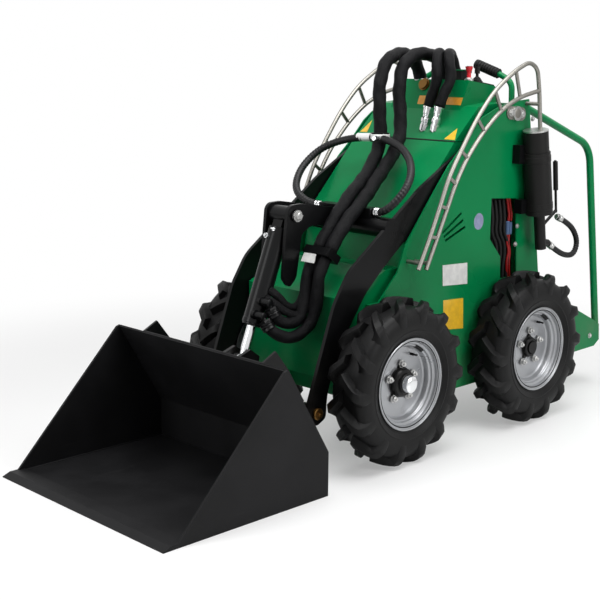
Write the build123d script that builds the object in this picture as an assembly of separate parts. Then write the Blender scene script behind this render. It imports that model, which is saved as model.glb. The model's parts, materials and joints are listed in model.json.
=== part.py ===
from build123d import *
import math
import os

# Compact stand-on skid steer loader with a dirt bucket, at real size in millimetres.
# X runs forward to the bucket, Y to the machine's left and Z up.  Shapes are drawn with
# X = 0 at the front axle and the ground at Z = 0; save() moves them to the middle of the length.

# ---------------------------------------------------------------- driving dimensions
wheel_base = 658.0
wheel_centre_y = 315.0
tyre_diameter = 510.0
tyre_width = 130.0
rim_bead_diameter = 254.0
rim_flange_diameter = 284.0
rim_width = 114.0
axle_diameter = 40.0
running_clearance = 0.3
moving_clearance = 6.0
seat_clearance = 0.3

lip_reach = 945.0
rear_reach = 1248.0
overall_half_width = wheel_centre_y + tyre_width / 2

body_half_width = 213.0
body_wall = 4.0
arm_thickness = 12.0
arm_inner_y = body_half_width + moving_clearance
arm_outer_y = arm_inner_y + arm_thickness
side_plate_thickness = 5.0
side_plate_inner_y = arm_outer_y + moving_clearance
side_plate_outer_y = side_plate_inner_y + side_plate_thickness

belly_z = 145.0
tub_floor_z = belly_z + 12
deck_z = 480.0
tub_rear_x = -820.0
back_top = (-722.0, 1078.0)
back_slope = (tub_rear_x - back_top[0]) / (deck_z - back_top[1])

arm_pivot = (-648.0, 1033.0)
arm_pivot_diameter = 40.0
hitch_pin = (258.0, 187.0)
hitch_pin_diameter = 24.0
tilt_top_pin = (176.0, 746.0)
tilt_rod_pin = (347.0, 314.0)
tilt_pin_diameter = 22.0
cross_tube = (-55.0, 705.0)
cross_tube_diameter = 60.0

barrel_diameter = 64.0
barrel_length = 300.0
rod_diameter = 30.0
eye_width = 44.0
eye_diameter = 52.0
lug_thickness = 12.0

bucket_half_width = overall_half_width
bucket_sheet = 6.0
bucket_side_sheet = 8.0
bucket_heel = (359.0, 0.0)
bucket_knee = (359.0, 130.0)
bucket_top = (518.0, 394.0)
bucket_side_toe_x = 894.0
cutting_edge_length = 70.0
cutting_edge_thickness = 12.0
hitch_plate_thickness = 10.0

guard_tube_diameter = 14.0
rail_tube_diameter = 26.0
sleeve_diameter = 42.0
hose_diameter = 20.0

front_axle_x = (rear_reach - lip_reach) / 2


# ---------------------------------------------------------------- drawing tools
def save(name, shape):
    """Write one sub-part, moved so that the machine's bounding box is centred over the origin."""
    export_step(Pos(front_axle_x, 0, 0) * shape, f"parts/{name}.step")


def outline(points, radius=0.0):
    """Closed face in the XZ plane; radius rounds every corner, or is a list with one for each."""
    if radius:
        wire = FilletPolyline(*points, radius=radius, close=True)
    else:
        wire = Polyline(*points, close=True)
    return make_face(Plane.XZ * wire)


def back_x(z, inset=0.0):
    """X of the body's leaning rear face at height z, or a distance inside it."""
    return back_top[0] + (z - back_top[1]) * back_slope + inset


def slab(points, y_low, y_high, radius=0.0):
    """Plate whose side view is the outline, from y_low to y_high."""
    return Pos(0, y_high, 0) * extrude(outline(points, radius), amount=y_high - y_low, dir=(0, -1, 0))


def offset_path(points, distance):
    """The same open path moved to its left by distance, with mitred corners."""
    moved = []
    last = len(points) - 1
    for index, (x, z) in enumerate(points):
        before = points[max(index - 1, 0)]
        after = points[min(index + 1, last)]
        normals = []
        for start, end in ((before, (x, z)), ((x, z), after)):
            length = math.dist(start, end)
            if length > 0:
                normals.append(((start[1] - end[1]) / length, (end[0] - start[0]) / length))
        sum_x = sum(n[0] for n in normals)
        sum_z = sum(n[1] for n in normals)
        scale = distance * len(normals) / (sum_x ** 2 + sum_z ** 2)
        moved.append((x + sum_x * scale, z + sum_z * scale))
    return moved


def bent_sheet(points, thickness, y_low, y_high):
    """Folded sheet that follows an open path, with its thickness to the path's left."""
    return slab(points + offset_path(points, thickness)[::-1], y_low, y_high)


def rod_y(centre, diameter, y_low, y_high):
    """Cylinder along Y at a point (x, z)."""
    cylinder = Cylinder(diameter / 2, y_high - y_low, rotation=(90, 0, 0))
    return Pos(centre[0], (y_low + y_high) / 2, centre[1]) * cylinder


def turned(profile):
    """Solid turned about the Y axis from (radius, y) points."""
    return revolve(make_face(Polyline(*profile, close=True)), Axis.Y)


def pipe(points, radii, diameter):
    """Round bar along straight runs joined by tangent arcs."""
    path = FilletPolyline(*points, radius=radii)
    start = Plane(origin=path @ 0, z_dir=path % 0)
    return sweep(start * Circle(diameter / 2), path=path)


def bend_radii(points):
    """Bend radius at each inner point: 0.45 of the shorter run over the tangent of half the turn."""
    radii = []
    for before, here, after in zip(points, points[1:], points[2:]):
        arriving = Vector(*here) - Vector(*before)
        leaving = Vector(*after) - Vector(*here)
        half_turn = math.radians(arriving.get_angle(leaving)) / 2
        radii.append(0.45 * min(arriving.length, leaving.length) / math.tan(half_turn))
    return radii


def cords(name, routes, diameter, seats=()):
    """Hoses cut off at their seats, as one sub-part; prints each one's length, radii and volume check."""
    solids = []
    for points in routes:
        radii = bend_radii(points)
        solid = pipe(points, radii, diameter)
        section = math.pi * diameter ** 2 / 4
        path_length = FilletPolyline(*points, radius=radii).length
        print(f"{name}: length {path_length:.0f}, radii {[round(r) for r in radii]},",
              f"volume ratio {solid.volume / (section * path_length):.4f}")
        for seat in seats:
            solid -= seat
        solids.append(solid)
    save(name, Part() + solids)


def bent_tube(points, diameter):
    """Tube through the given points, with every bend as wide as its two runs allow."""
    return pipe(points, bend_radii(points), diameter)


def bar(start, end, diameter):
    """Straight round bar between two points."""
    axis = Vector(*end) - Vector(*start)
    base = Plane(origin=start, z_dir=axis.normalized())
    return extrude(base * Circle(diameter / 2), amount=axis.length)


def mirrored(shape):
    """The same piece on the machine's right."""
    return mirror(shape, about=Plane.XZ)


def save_pair(name, left_shape):
    save(f"{name}_left", left_shape)
    save(f"{name}_right", mirrored(left_shape))


def save_both(name, left_shape):
    """Write a left piece and its mirror image as one sub-part of two solids."""
    save(name, left_shape + mirrored(left_shape))


# ---------------------------------------------------------------- chassis and body
chassis_nose_x = 125.0
chassis_front_x = 35.0
nose_top_z = 575.0
nose_bottom_z = 232.0
hood_knee = (-150.0, 720.0)
hood_seam = (-369.0, 951.0)
hood_crest = (-486.0, 1057.0)
hood_ridge = (-600.0, 1068.0)
hood_back_z = 1050.0
panel_thickness = 6.0
console_half_width = 150.0
console_front = (-512.0, 1140.0)
console_back = (-655.0, 1119.0)
engine_size = (310.0, 300.0, 420.0)
engine_x = -445.0


def chassis():
    """Welded tub between the wheels, with a narrower nose between the arms."""
    tub = slab([(tub_rear_x, belly_z), (chassis_front_x - 60, belly_z), (chassis_front_x, nose_bottom_z),
                (chassis_front_x, deck_z), (tub_rear_x, deck_z)], -side_plate_inner_y, side_plate_inner_y)
    nose = slab([(chassis_front_x, nose_bottom_z), (chassis_nose_x, nose_bottom_z + 15),
                 (chassis_nose_x, 505), (-53, nose_top_z), (-120, nose_top_z), (-120, deck_z),
                 (chassis_front_x, deck_z)], -body_half_width, body_half_width)
    room_height = deck_z + 1 - tub_floor_z
    room = Box(720, 2 * side_plate_inner_y - 60, room_height)
    return tub + nose - Pos(-400, 0, tub_floor_z + room_height / 2) * room


def engine():
    """Plain block of the engine's real size, standing on the tub's floor."""
    return Pos(engine_x, 0, tub_floor_z + engine_size[2] / 2) * Box(*engine_size)


def hood_front():
    """Sloping front cover of the engine bay, folded from sheet, with its own side walls."""
    profile = [(-120, nose_top_z), hood_knee, hood_seam]
    skin = bent_sheet(profile, body_wall, -body_half_width, body_half_width)
    inside = offset_path(profile, body_wall)
    side = slab([(back_x(deck_z, panel_thickness + 2), deck_z), (inside[0][0], deck_z)] + inside
                + [(back_x(hood_seam[1], panel_thickness + 2), hood_seam[1])],
                body_half_width - body_wall, body_half_width)
    return skin + side + mirrored(side)


def hood_top():
    """Tank and instrument top above the seam, hollow inside."""
    back = back_x(hood_back_z, panel_thickness + 2)
    low_back = back_x(hood_seam[1], panel_thickness + 2)
    profile = [hood_seam, hood_crest, hood_ridge, (back, hood_back_z), (low_back, hood_seam[1])]
    shell = slab(profile, -body_half_width, body_half_width)
    inner_profile = offset_path([(hood_seam[0] + 1, hood_seam[1] - 1), hood_crest, hood_ridge,
                                 (back, hood_back_z), (low_back, hood_seam[1] - 1)], body_wall)
    return shell - slab(inner_profile, -body_half_width + body_wall, body_half_width - body_wall)


def side_plate():
    """Outer armour plate of the left side with its window and three slanted louvres."""
    plate = slab([(tub_rear_x, belly_z), (chassis_front_x - 60, belly_z), (chassis_front_x - 10, nose_bottom_z),
                  (chassis_front_x - 10, 470), (-74, 568), (-107, 648), (-184, 739), (-249, 815), (-309, 882),
                  (-372, 936), (-434, 999), (-474, 1026), (-557, 1056), (-638, 1073), back_top,
                  (tub_rear_x, deck_z)], side_plate_inner_y, side_plate_outer_y)
    plate -= slab([(-535, 760), (-672, 750), (-693, 470), (-602, 447), (-595, 560), (-535, 624)],
                  side_plate_inner_y - 1, side_plate_outer_y + 1)
    for step in range(3):
        high = (-377 - 11 * step, 729 - 23 * step)
        low = (-283 - 8 * step, 673 - 13 * step)
        plate -= slab([low, high, (high[0] - 3, high[1] - 8), (low[0] - 3, low[1] - 8)],
                      side_plate_inner_y - 1, side_plate_outer_y + 1)
    return plate - rod_y(arm_pivot, arm_pivot_diameter, side_plate_inner_y - 1, side_plate_outer_y + 1)


def rear_panel():
    """Leaning plate that closes the back of the body, in front of the operator."""
    return bent_sheet([(back_x(deck_z + 1), deck_z + 1), (back_x(1062), 1062)], -panel_thickness,
                      -side_plate_inner_y, side_plate_inner_y)


def under_hood():
    """Everything below the hood's outer faces, for cutting off what stands on them."""
    slope = (hood_crest[1] - hood_seam[1]) / (hood_crest[0] - hood_seam[0])
    foot = (hood_crest[0] + 200, hood_crest[1] + 200 * slope)
    back = back_x(hood_back_z, panel_thickness + 2)
    return slab([(hood_crest[0], 700), foot, hood_crest, hood_ridge, (back, hood_back_z), (-900, hood_back_z),
                 (-900, 700)], -300, 300)


def console():
    """Instrument box on the hood top."""
    box = slab([(-470, 1040), console_front, console_back, (-672, 1040)], -console_half_width, console_half_width)
    return box - under_hood()


# ---------------------------------------------------------------- rear end
platform_floor_z = 158.0
platform_plate_y = 229.0
platform_plate_thickness = 8.0
platform_front_x = tub_rear_x - seat_clearance
rail_y = 226.0
rail_bend_radius = 105.0


def platform_side():
    """Side plate beside the standing platform, with a rounded rear corner."""
    points = [(platform_front_x, belly_z), (-1215, 150), (-rear_reach, 170), (-rear_reach + 6, 231),
              (-1195, 256), (-905, 392), (platform_front_x, 430)]
    return slab(points, platform_plate_y, platform_plate_y + platform_plate_thickness)


def platform_floor():
    """Tread plate that the operator stands on."""
    return bent_sheet([(platform_front_x, platform_floor_z), (-1215, platform_floor_z), (-1232, 178)], 6,
                      -platform_plate_y, platform_plate_y)


def rear_rail(seat):
    """Bent tube from the top of the body down to the platform's side plate."""
    points = [(-700, rail_y, 1059), (-1127, rail_y, 903), (-1231, rail_y, 235)]
    body_side = slab([(back_x(1078), 1078), (back_x(900), 900), (-600, 900), (-600, 1078)], 200, 260)
    tube = pipe(points, rail_bend_radius, rail_tube_diameter)
    return tube - seat - body_side


# ---------------------------------------------------------------- guards, handles, controls
handle_tube_diameter = 20.0
guard_y = 294.0
guard_outer = [(-110, 579), (-162, 675), (-206, 767), (-245, 853), (-300, 930), (-374, 1028), (-461, 1113),
               (-568, 1174), (-640, 1200), (-686, 1180), (-702, 1108), (-717, 981)]
guard_inner = [(-147, 575), (-196, 669), (-240, 755), (-277, 829), (-331, 907), (-412, 987), (-497, 1049),
               (-596, 1089), (-700, 1107)]
guard_feet = [(-120, 598), (-157, 594), (-706, 1064)]


def arm_guard():
    """Ladder-shaped guard of bright tube that stands off the side plate, over the arm's front edge."""
    guard = bent_tube([(x, guard_y, z) for x, z in guard_outer], guard_tube_diameter)
    guard += bent_tube([(x, guard_y, z) for x, z in guard_inner], guard_tube_diameter)
    for outer, inner in list(zip(guard_outer, guard_inner))[1:8]:
        guard += bar((outer[0], guard_y, outer[1]), (inner[0], guard_y, inner[1]), guard_tube_diameter - 2)
    for foot in guard_feet:
        guard += rod_y(foot, guard_tube_diameter - 1, side_plate_outer_y, guard_y)
    return guard


def handle():
    """Tube of one hand hold; its grip sits on the sloping end."""
    points = [(-685, 198, 1030), (-685, 195, 1132), (-685, 150, 1156), (-685, 44, 1191)]
    return bent_tube(points, handle_tube_diameter) - under_hood()


def grip():
    """Foam sleeve over the sloping end of the hand hold."""
    start = (-685, 140, 1159.3)
    end = (-685, 44, 1191)
    return bar(start, end, 34) - bar(start, end, handle_tube_diameter)


def red_knob():
    """Red push knob on the console's front edge."""
    post = Pos(-530, 135, 1136) * Cylinder(7, 32, align=(Align.CENTER, Align.CENTER, Align.MIN))
    head = Pos(-530, 135, 1168) * Cone(9, 13, 16, align=(Align.CENTER, Align.CENTER, Align.MIN))
    return post + head - console()


lever_places = [(-596, 118), (-640, 50), (-640, -20), (-640, -90)]


def control_lever(x, y):
    """Short black control lever with a rounded grip."""
    lever = Pos(x, y, 1120) * Cylinder(5, 40, align=(Align.CENTER, Align.CENTER, Align.MIN))
    lever += Pos(x, y, 1160) * Cylinder(9, 24, align=(Align.CENTER, Align.CENTER, Align.MIN))
    return lever - console()


def filler_cap():
    """Turned cap on the console's front face."""
    face = Plane(origin=(-504.4, -30, 1122), z_dir=(100, 0, 42))
    return extrude(face * Circle(17), amount=12) + extrude(face * Circle(21), amount=5)


# ---------------------------------------------------------------- grease gun at the left rear
holder_diameter = 92.0
holder_y = side_plate_outer_y + seat_clearance + holder_diameter / 2
holder_top = (-700.0, 978.0)
holder_foot = (-742.0, 697.0)
gun_hose_diameter = 18.0


def on_holder(height):
    """Point on the holder's leaning axis at a height above the ground."""
    share = (height - holder_foot[1]) / (holder_top[1] - holder_foot[1])
    return (holder_foot[0] + share * (holder_top[0] - holder_foot[0]), holder_y, height)


def gun_holder():
    """Stepped tube that the grease gun stands in."""
    holder = bar(on_holder(holder_foot[1]), on_holder(905), holder_diameter)
    holder += bar(on_holder(905), on_holder(holder_top[1]), holder_diameter - 8)
    return holder - bar(on_holder(holder_top[1] - 14), on_holder(holder_top[1] + 5), holder_diameter - 14)


def grease_gun():
    """Gun head below the holder with its hand lever folded up beside it."""
    head = bar(on_holder(575), on_holder(holder_foot[1] - seat_clearance), 38)
    spout = bar((on_holder(600)[0], holder_y, 600), (-800, holder_y, 592), 22)
    link = bar((on_holder(645)[0], holder_y, 645), (-842, holder_y, 700), 11)
    lever = bar((-842, holder_y, 692), (-822, holder_y, 872), 9) + bar((-834, holder_y, 770), (-823, holder_y, 868), 17)
    return head + spout + link + lever


grease_hose_points = [(-846.5, holder_y, 678), (-903, holder_y, 656), (-957, holder_y, 622), (-985, holder_y, 575),
                      (-965, holder_y, 533), (-915, holder_y, 534), (-858, holder_y, 556), (-800.5, holder_y, 590)]




# ---------------------------------------------------------------- lift arms
arm_points = [(-669, 1082), (-183, 816), (128, 592), (188, 500), (286, 232), (300, 190), (262, 146), (220, 166),
              (214, 250), (130, 417), (55, 519), (-22, 588), (-231, 747), (-490, 888), (-709, 1008)]
arm_radii = [30, 300, 150, 150, 30, 18, 20, 20, 200, 120, 200, 300, 300, 300, 45]


def arm():
    """Curved plate arm from the rear pivot to the hitch."""
    plate = slab(arm_points, arm_inner_y, arm_outer_y, arm_radii)
    plate -= rod_y(arm_pivot, arm_pivot_diameter + 0.1, arm_inner_y - 1, arm_outer_y + 1)
    plate -= rod_y(hitch_pin, hitch_pin_diameter + 0.1, arm_inner_y - 1, arm_outer_y + 1)
    return plate


lug_y = 40.0
lug_points = [(-70, 745), (150, 780), (206, 778), (214, 700), (226, 560), (200, 526), (170, 560), (148, 690),
              (100, 714), (-60, 672)]
lug_radii = [12, 40, 27, 80, 22, 14, 30, 30, 60, 12]


def tilt_lug():
    """Bracket plate that carries one side of the tilt cylinder's upper pin."""
    plate = slab(lug_points, lug_y, lug_y + lug_thickness, lug_radii)
    plate -= rod_y(tilt_top_pin, tilt_pin_diameter, lug_y - 1, lug_y + lug_thickness + 1)
    return plate - rod_y(cross_tube, cross_tube_diameter, lug_y - 1, lug_y + lug_thickness + 1)


collar_centre = (-249, 3, 959)
collar_diameter = 58.0
clamp_centre = (118.0, 630.0)
clamp_half_depth = 13.0
hose_lie = (0.6, -0.8)
clamp_rows = (84.0, 132.0)


def hose_block():
    """Manifold on the cross tube that the hose ring ends at."""
    block = Pos(cross_tube[0], 50, cross_tube[1] + cross_tube_diameter / 2 + 8) * Box(40, 220, 34)
    cut = rod_y(cross_tube, cross_tube_diameter, -200, 200)
    for low, high in ((lug_y, lug_y + lug_thickness), (-lug_y - lug_thickness, -lug_y)):
        cut += slab(lug_points, low, high, lug_radii)
    return block - cut


def hose_collar():
    """Two-part collar that ties the hose ring to the near sleeve."""
    collar = Pos(*collar_centre) * Cylinder(collar_diameter / 2, 30)
    return collar - Pos(*collar_centre) * Cylinder(sleeve_diameter / 2 + running_clearance, 31)


def hose_clamp():
    """Block on the side of the near lug that both sleeved hoses end at."""
    side_view = [(-clamp_half_depth, -30), (clamp_half_depth, -30), (clamp_half_depth, 26), (-clamp_half_depth, 26)]
    corners = [(clamp_centre[0] + along * hose_lie[0] - across * hose_lie[1],
                clamp_centre[1] + along * hose_lie[1] + across * hose_lie[0]) for along, across in side_view]
    return slab(corners, lug_y + lug_thickness, clamp_rows[1] + sleeve_diameter / 2 + 4)


def at_clamp(along, row):
    """Point on a clamp row, a distance past the clamp's centre along the hoses."""
    return (clamp_centre[0] + along * hose_lie[0], clamp_rows[row], clamp_centre[1] + along * hose_lie[1])


# ---------------------------------------------------------------- tilt cylinder
cylinder_length = math.dist(tilt_top_pin, tilt_rod_pin)
cylinder_lean = math.degrees(math.asin((tilt_top_pin[0] - tilt_rod_pin[0]) / cylinder_length))
barrel_start = 45.0
barrel_wall_end = barrel_start + barrel_length
rod_engagement = 230.0
top_eye_width = 2 * lug_y - 3


def along_cylinder(shape):
    """Move a shape drawn hanging below the origin onto the tilt cylinder's line."""
    return Pos(tilt_top_pin[0], 0, tilt_top_pin[1]) * Rot(0, cylinder_lean, 0) * shape


def tilt_barrel():
    eye = rod_y((0, 0), eye_diameter, -top_eye_width / 2, top_eye_width / 2)
    barrel = Pos(0, 0, -barrel_start - barrel_length / 2) * Cylinder(barrel_diameter / 2, barrel_length)
    neck = Pos(0, 0, -barrel_start / 2) * Box(30, 40, barrel_start)
    bore_depth = barrel_length - 15
    bore = Pos(0, 0, -barrel_wall_end + bore_depth / 2 - 1) * Cylinder(rod_diameter / 2 + 0.1, bore_depth + 2)
    body = eye + neck + barrel - bore
    return along_cylinder(body - rod_y((0, 0), tilt_pin_diameter + 0.1, -60, 60))


def tilt_rod():
    length = cylinder_length - barrel_wall_end + rod_engagement
    rod = Pos(0, 0, -cylinder_length + length / 2) * Cylinder(rod_diameter / 2, length)
    eye = rod_y((0, -cylinder_length), eye_diameter, -eye_width / 2, eye_width / 2)
    return along_cylinder(rod + eye - rod_y((0, -cylinder_length), tilt_pin_diameter, -60, 60))


# ---------------------------------------------------------------- bucket and hitch
back_length = math.dist(bucket_knee, bucket_top)
back_along = ((bucket_top[0] - bucket_knee[0]) / back_length, (bucket_top[1] - bucket_knee[1]) / back_length)


def on_back(along, behind):
    """Point (x, z) a distance up the bucket's sloping back and a distance behind it."""
    return (bucket_knee[0] + along * back_along[0] - behind * back_along[1],
            bucket_knee[1] + along * back_along[1] + behind * back_along[0])


def bucket():
    """Open bucket of folded sheet with two side plates."""
    floor_end = lip_reach - cutting_edge_length
    profile = [(floor_end, 0), bucket_heel, bucket_knee, bucket_top]
    shell = bent_sheet(profile, -bucket_sheet, -bucket_half_width, bucket_half_width)
    cheek_points = [bucket_heel, bucket_knee, bucket_top, (bucket_top[0] + 12, bucket_top[1] - 4),
                    (bucket_side_toe_x, cutting_edge_thickness), (floor_end, cutting_edge_thickness),
                    (floor_end, 0)]
    cheek = slab(cheek_points, bucket_half_width - bucket_side_sheet, bucket_half_width)
    return shell + cheek + mirrored(cheek)


def cutting_edge():
    """Bevelled wear bar along the bucket's floor edge."""
    start = lip_reach - cutting_edge_length
    points = [(start, 0), (lip_reach, 0), (lip_reach, 2), (lip_reach - 25, cutting_edge_thickness),
              (start, cutting_edge_thickness)]
    return slab(points, -bucket_half_width, bucket_half_width)


ear_y = arm_inner_y - moving_clearance - 14
tilt_ear_y = eye_width / 2 + 6


def hitch():
    """Plate on the bucket's back with ears for the arm pins and the tilt pin."""
    plate_face = hitch_plate_thickness
    frame = slab([on_back(0, 0), on_back(300, 0), on_back(300, plate_face), on_back(0, plate_face)], -270, 270)
    for low, high in ((ear_y, ear_y + 14), (-ear_y - 14, -ear_y)):
        frame += slab([on_back(-5, plate_face / 2), on_back(95, plate_face / 2), on_back(35, 117), on_back(-25, 140),
                       on_back(-45, 117)], low, high)
    for low, high in ((tilt_ear_y, tilt_ear_y + 12), (-tilt_ear_y - 12, -tilt_ear_y)):
        frame += slab([on_back(100, plate_face / 2), on_back(220, plate_face / 2), on_back(190, 130),
                       on_back(150, 147), on_back(125, 125)], low, high)
    for low, high in ((262, 270), (-270, -262)):
        frame += slab([on_back(70, plate_face / 2), on_back(300, plate_face / 2), on_back(296, 62),
                       on_back(215, 72), on_back(100, 72)], low, high)
    for side in (-1, 1):
        frame -= rod_y(hitch_pin, hitch_pin_diameter, side * (ear_y + 7) - 9, side * (ear_y + 7) + 9)
        frame -= rod_y(tilt_rod_pin, tilt_pin_diameter, side * (tilt_ear_y + 6) - 8, side * (tilt_ear_y + 6) + 8)
    return frame


# ---------------------------------------------------------------- wheels
lug_pairs = 15
tyre_facets = 30
tyre_lug_height = 23.0
tyre_lug_width = 18.0
tyre_lug_length = 71.0
tyre_lug_angle = 42.0
bead_clearance = 0.3
flange_depth = 4.0


def facet_ring(radius, y):
    """Many-sided face across the wheel's axis, whose flats are a radius away from it."""
    plane = Plane(origin=(0, y, 0), x_dir=(1, 0, 0), z_dir=(0, -1, 0))
    return plane * RegularPolygon(radius, tyre_facets, major_radius=False)


def tyre():
    """Faceted tyre with slanting tractor lugs; local Y is zero at its middle."""
    bead = rim_bead_diameter / 2 + bead_clearance
    flange = rim_flange_diameter / 2
    half = tyre_width / 2
    tread = tyre_diameter / 2 - tyre_lug_height
    bead_face = rim_width / 2 - flange_depth - bead_clearance
    bulge = (bead + tread) / 2
    levels = [(flange + 3, -bead_face), (bulge, 1 - half), (tread - 3, 20 - half), (tread - 3, half - 20),
              (bulge, half - 1), (flange + 3, bead_face)]
    rings = [facet_ring(radius, y) for radius, y in levels]
    carcass = loft(rings, ruled=True)
    bore = extrude(facet_ring(bead, half), amount=tyre_width)
    lug = Box(tyre_lug_width, tyre_lug_length, 60)
    turn = math.radians(tyre_lug_angle)
    reach = tyre_lug_length / 2 * math.sin(turn) + tyre_lug_width / 2 * math.cos(turn)
    height = math.sqrt((tyre_diameter / 2) ** 2 - reach ** 2)
    half_span = math.degrees(math.asin(reach / (tyre_diameter / 2)))
    lugs = []
    for index in range(2 * lug_pairs):
        side = 1 if index % 2 else -1
        placed = Pos(0, side * half / 2, height - 30) * Rot(0, 0, side * tyre_lug_angle) * lug
        lugs.append(Rot(0, 180 / lug_pairs * index + half_span, 0) * placed)
    return carcass + lugs - bore


def rim():
    """Dished steel wheel; local Y grows outboard."""
    bead = rim_bead_diameter / 2
    flange = rim_flange_diameter / 2
    bore = axle_diameter / 2 + 0.05
    edge = rim_width / 2
    seat = edge - flange_depth
    return turned([(flange, edge), (flange, seat + 1), (bead, seat), (bead, seat - 15), (112, seat - 28), (112, -20),
                   (bead, -35), (bead, -seat), (flange, -seat - 1), (flange, -edge), (123, -edge), (123, -37),
                   (108, -22), (108, 9), (62, 14), (bore, 14), (bore, 22), (62, 22), (108, 17), (108, seat - 26),
                   (123, seat - 13), (123, edge)])


def hub_cap():
    """Domed cap over the front axle end."""
    return turned([(0, 34), (22, 34), (22, 22.3), (48, 22.3), (48, 30), (40, 38), (24, 40), (22, 50), (14, 55),
                   (0, 56)])


def stub_axle():
    """Wheel motor housing and shaft on the left side, along Y from the side plate."""
    inboard = side_plate_outer_y - wheel_centre_y
    return turned([(0, inboard), (60, inboard), (60, -30), (44, -22), (44, 6), (axle_diameter / 2, 6),
                   (axle_diameter / 2, 30), (0, 30)])


# ---------------------------------------------------------------- hydraulic hoses
ring_left_points = [(-247, -24, 957), (-243, -93, 954), (-221, -172, 935), (-190, -219, 907), (-135, -235, 859),
                    (-84, -215, 814), (-52, -180, 783), (-42, -136, 762), (-48, -98, 750), (-55, -58, 748)]
ring_right_points = [(-234, 28, 956), (-225, 100, 944), (-192, 176, 910), (-147, 228, 869), (-101, 249, 827),
                     (-66, 240, 788), (-48, 218, 762), (-50, 190, 750), (-55, 158, 748)]
loop_left_points = [(-536, -72, 1112), (-530, -74, 1158), (-500, -68, 1196), (-452, -54, 1220), (-394, -38, 1226),
                    (-336, -26, 1221), (-288, -16, 1194), (-258, -10, 1144), (-246, -2, 1078), (-249, 3, 1005),
                    (-249, 3, 944), (-218, 18, 908), (-140, 44, 842), (-41, 72, 786 + 12), at_clamp(-103, 0),
                    at_clamp(-clamp_half_depth, 0)]
loop_right_points = [(-568, 20, 1112), (-562, 24, 1158), (-538, 30, 1196), (-494, 36, 1220), (-436, 38, 1228),
                     (-378, 34, 1217), (-334, 30, 1182), (-314, 28, 1126), (-312, 30, 1058), (-306, 42, 986),
                     (-268, 58, 928), (-206, 72, 878), (-136, 88, 830), (-60, 112, 782), at_clamp(-103, 1),
                     at_clamp(-clamp_half_depth, 1)]
drop_points = [(-584, 76, 1112), (-580, 76, 1150), (-562, 76, 1180), (-530, 75, 1196), (-490, 74, 1196),
               (-452, 74, 1180), (-420, 74, 1152), (-404, 74, 1106), (-404, 74, 1058)]
tail_points = [[at_clamp(clamp_half_depth, 0), at_clamp(60, 0), (166, 88, 532), (178, 96, 478), (204, 96, 436),
                (244, 84, 428), (274, 66, 452), (282, 58, 476)],
               [at_clamp(clamp_half_depth, 1), at_clamp(60, 1), (158, 132, 524), (160, 128, 466), (184, 116, 414),
                (228, 104, 388), (272, 90, 396), (300, 72, 420), (306, 60, 440)]]
tail_diameter = 30.0
drop_diameter = 32.0


def coupler(x, y, top):
    """Bright quick coupler at the lower end of a hose, standing on the hood's slope."""
    body = Pos(x, y, top - 22) * Cylinder(13, 44) + Pos(x, y, top - 30) * Cylinder(16, 12)
    return body + Pos(x, y, top - 60) * Cylinder(9, 60) - under_hood()


# ---------------------------------------------------------------- write every sub-part
os.makedirs("parts", exist_ok=True)
save("chassis", chassis())
save("engine", engine())
save("hood_front", hood_front())
save("hood_top", hood_top())
save_pair("side_plate", side_plate())
save("rear_panel", rear_panel())
save("console", console())
save("filler_cap", filler_cap())
save("red_knob", red_knob())
save("control_levers", Part() + [control_lever(x, y) for x, y in lever_places])
platform_plate = platform_side()
save_pair("platform_side", platform_plate)
save("platform_floor", platform_floor())
save_pair("rear_rail", rear_rail(platform_plate))
save_pair("arm_guard", arm_guard())
save_both("handles", handle())
save_both("grips", grip())
save("gun_holder", gun_holder())
gun = grease_gun()
save("grease_gun", gun)
cords("grease_hose", [grease_hose_points], gun_hose_diameter, [gun])
save_both("arm_pivot_pins", rod_y(arm_pivot, arm_pivot_diameter, body_half_width, side_plate_outer_y)
          + rod_y(arm_pivot, arm_pivot_diameter + 8, side_plate_outer_y, side_plate_outer_y + 10))
save_pair("lift_arm", arm() - rod_y(cross_tube, cross_tube_diameter, arm_inner_y, arm_outer_y))
save("cross_tube", rod_y(cross_tube, cross_tube_diameter, -arm_outer_y, arm_outer_y))
save_pair("tilt_lug", tilt_lug())
save("tilt_top_pin", rod_y(tilt_top_pin, tilt_pin_diameter, -lug_y - lug_thickness - 8, lug_y + lug_thickness + 8))
save("hose_block", hose_block())
save("hose_collar", hose_collar())
save("hose_clamp", hose_clamp())
hose_seats = [console(), hose_block(), hose_collar()]
cords("hose_ring", [ring_left_points, ring_right_points], hose_diameter, hose_seats)
cords("hose_loop_left", [loop_left_points], sleeve_diameter, hose_seats)
cords("hose_loop_right", [loop_right_points], sleeve_diameter, hose_seats)
cords("hose_drop", [drop_points], drop_diameter, hose_seats)
save("coupler", coupler(-404, 74, 1058))
cylinder = tilt_barrel()
cords("hose_tails", tail_points, tail_diameter, [cylinder])
save("tilt_barrel", cylinder)
save("tilt_rod", tilt_rod())
save("bucket", bucket())
save("cutting_edge", cutting_edge())
save("hitch", hitch())
save_both("hitch_pins", rod_y(hitch_pin, hitch_pin_diameter, ear_y - 4, arm_outer_y + 6))
left_tyre = tyre()
for end, axle_x in (("front", 0.0), ("rear", -wheel_base)):
    place = Pos(axle_x, wheel_centre_y, tyre_diameter / 2)
    save_pair(f"{end}_tyre", place * left_tyre)
    save_pair(f"{end}_rim", place * rim())
    save_both(f"{end}_stub_axles", place * stub_axle())
save_pair("front_hub_cap", Pos(0, wheel_centre_y, tyre_diameter / 2) * hub_cap())
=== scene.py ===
import json
import math

import bmesh
import bpy
from mathutils import Matrix, Vector

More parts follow.
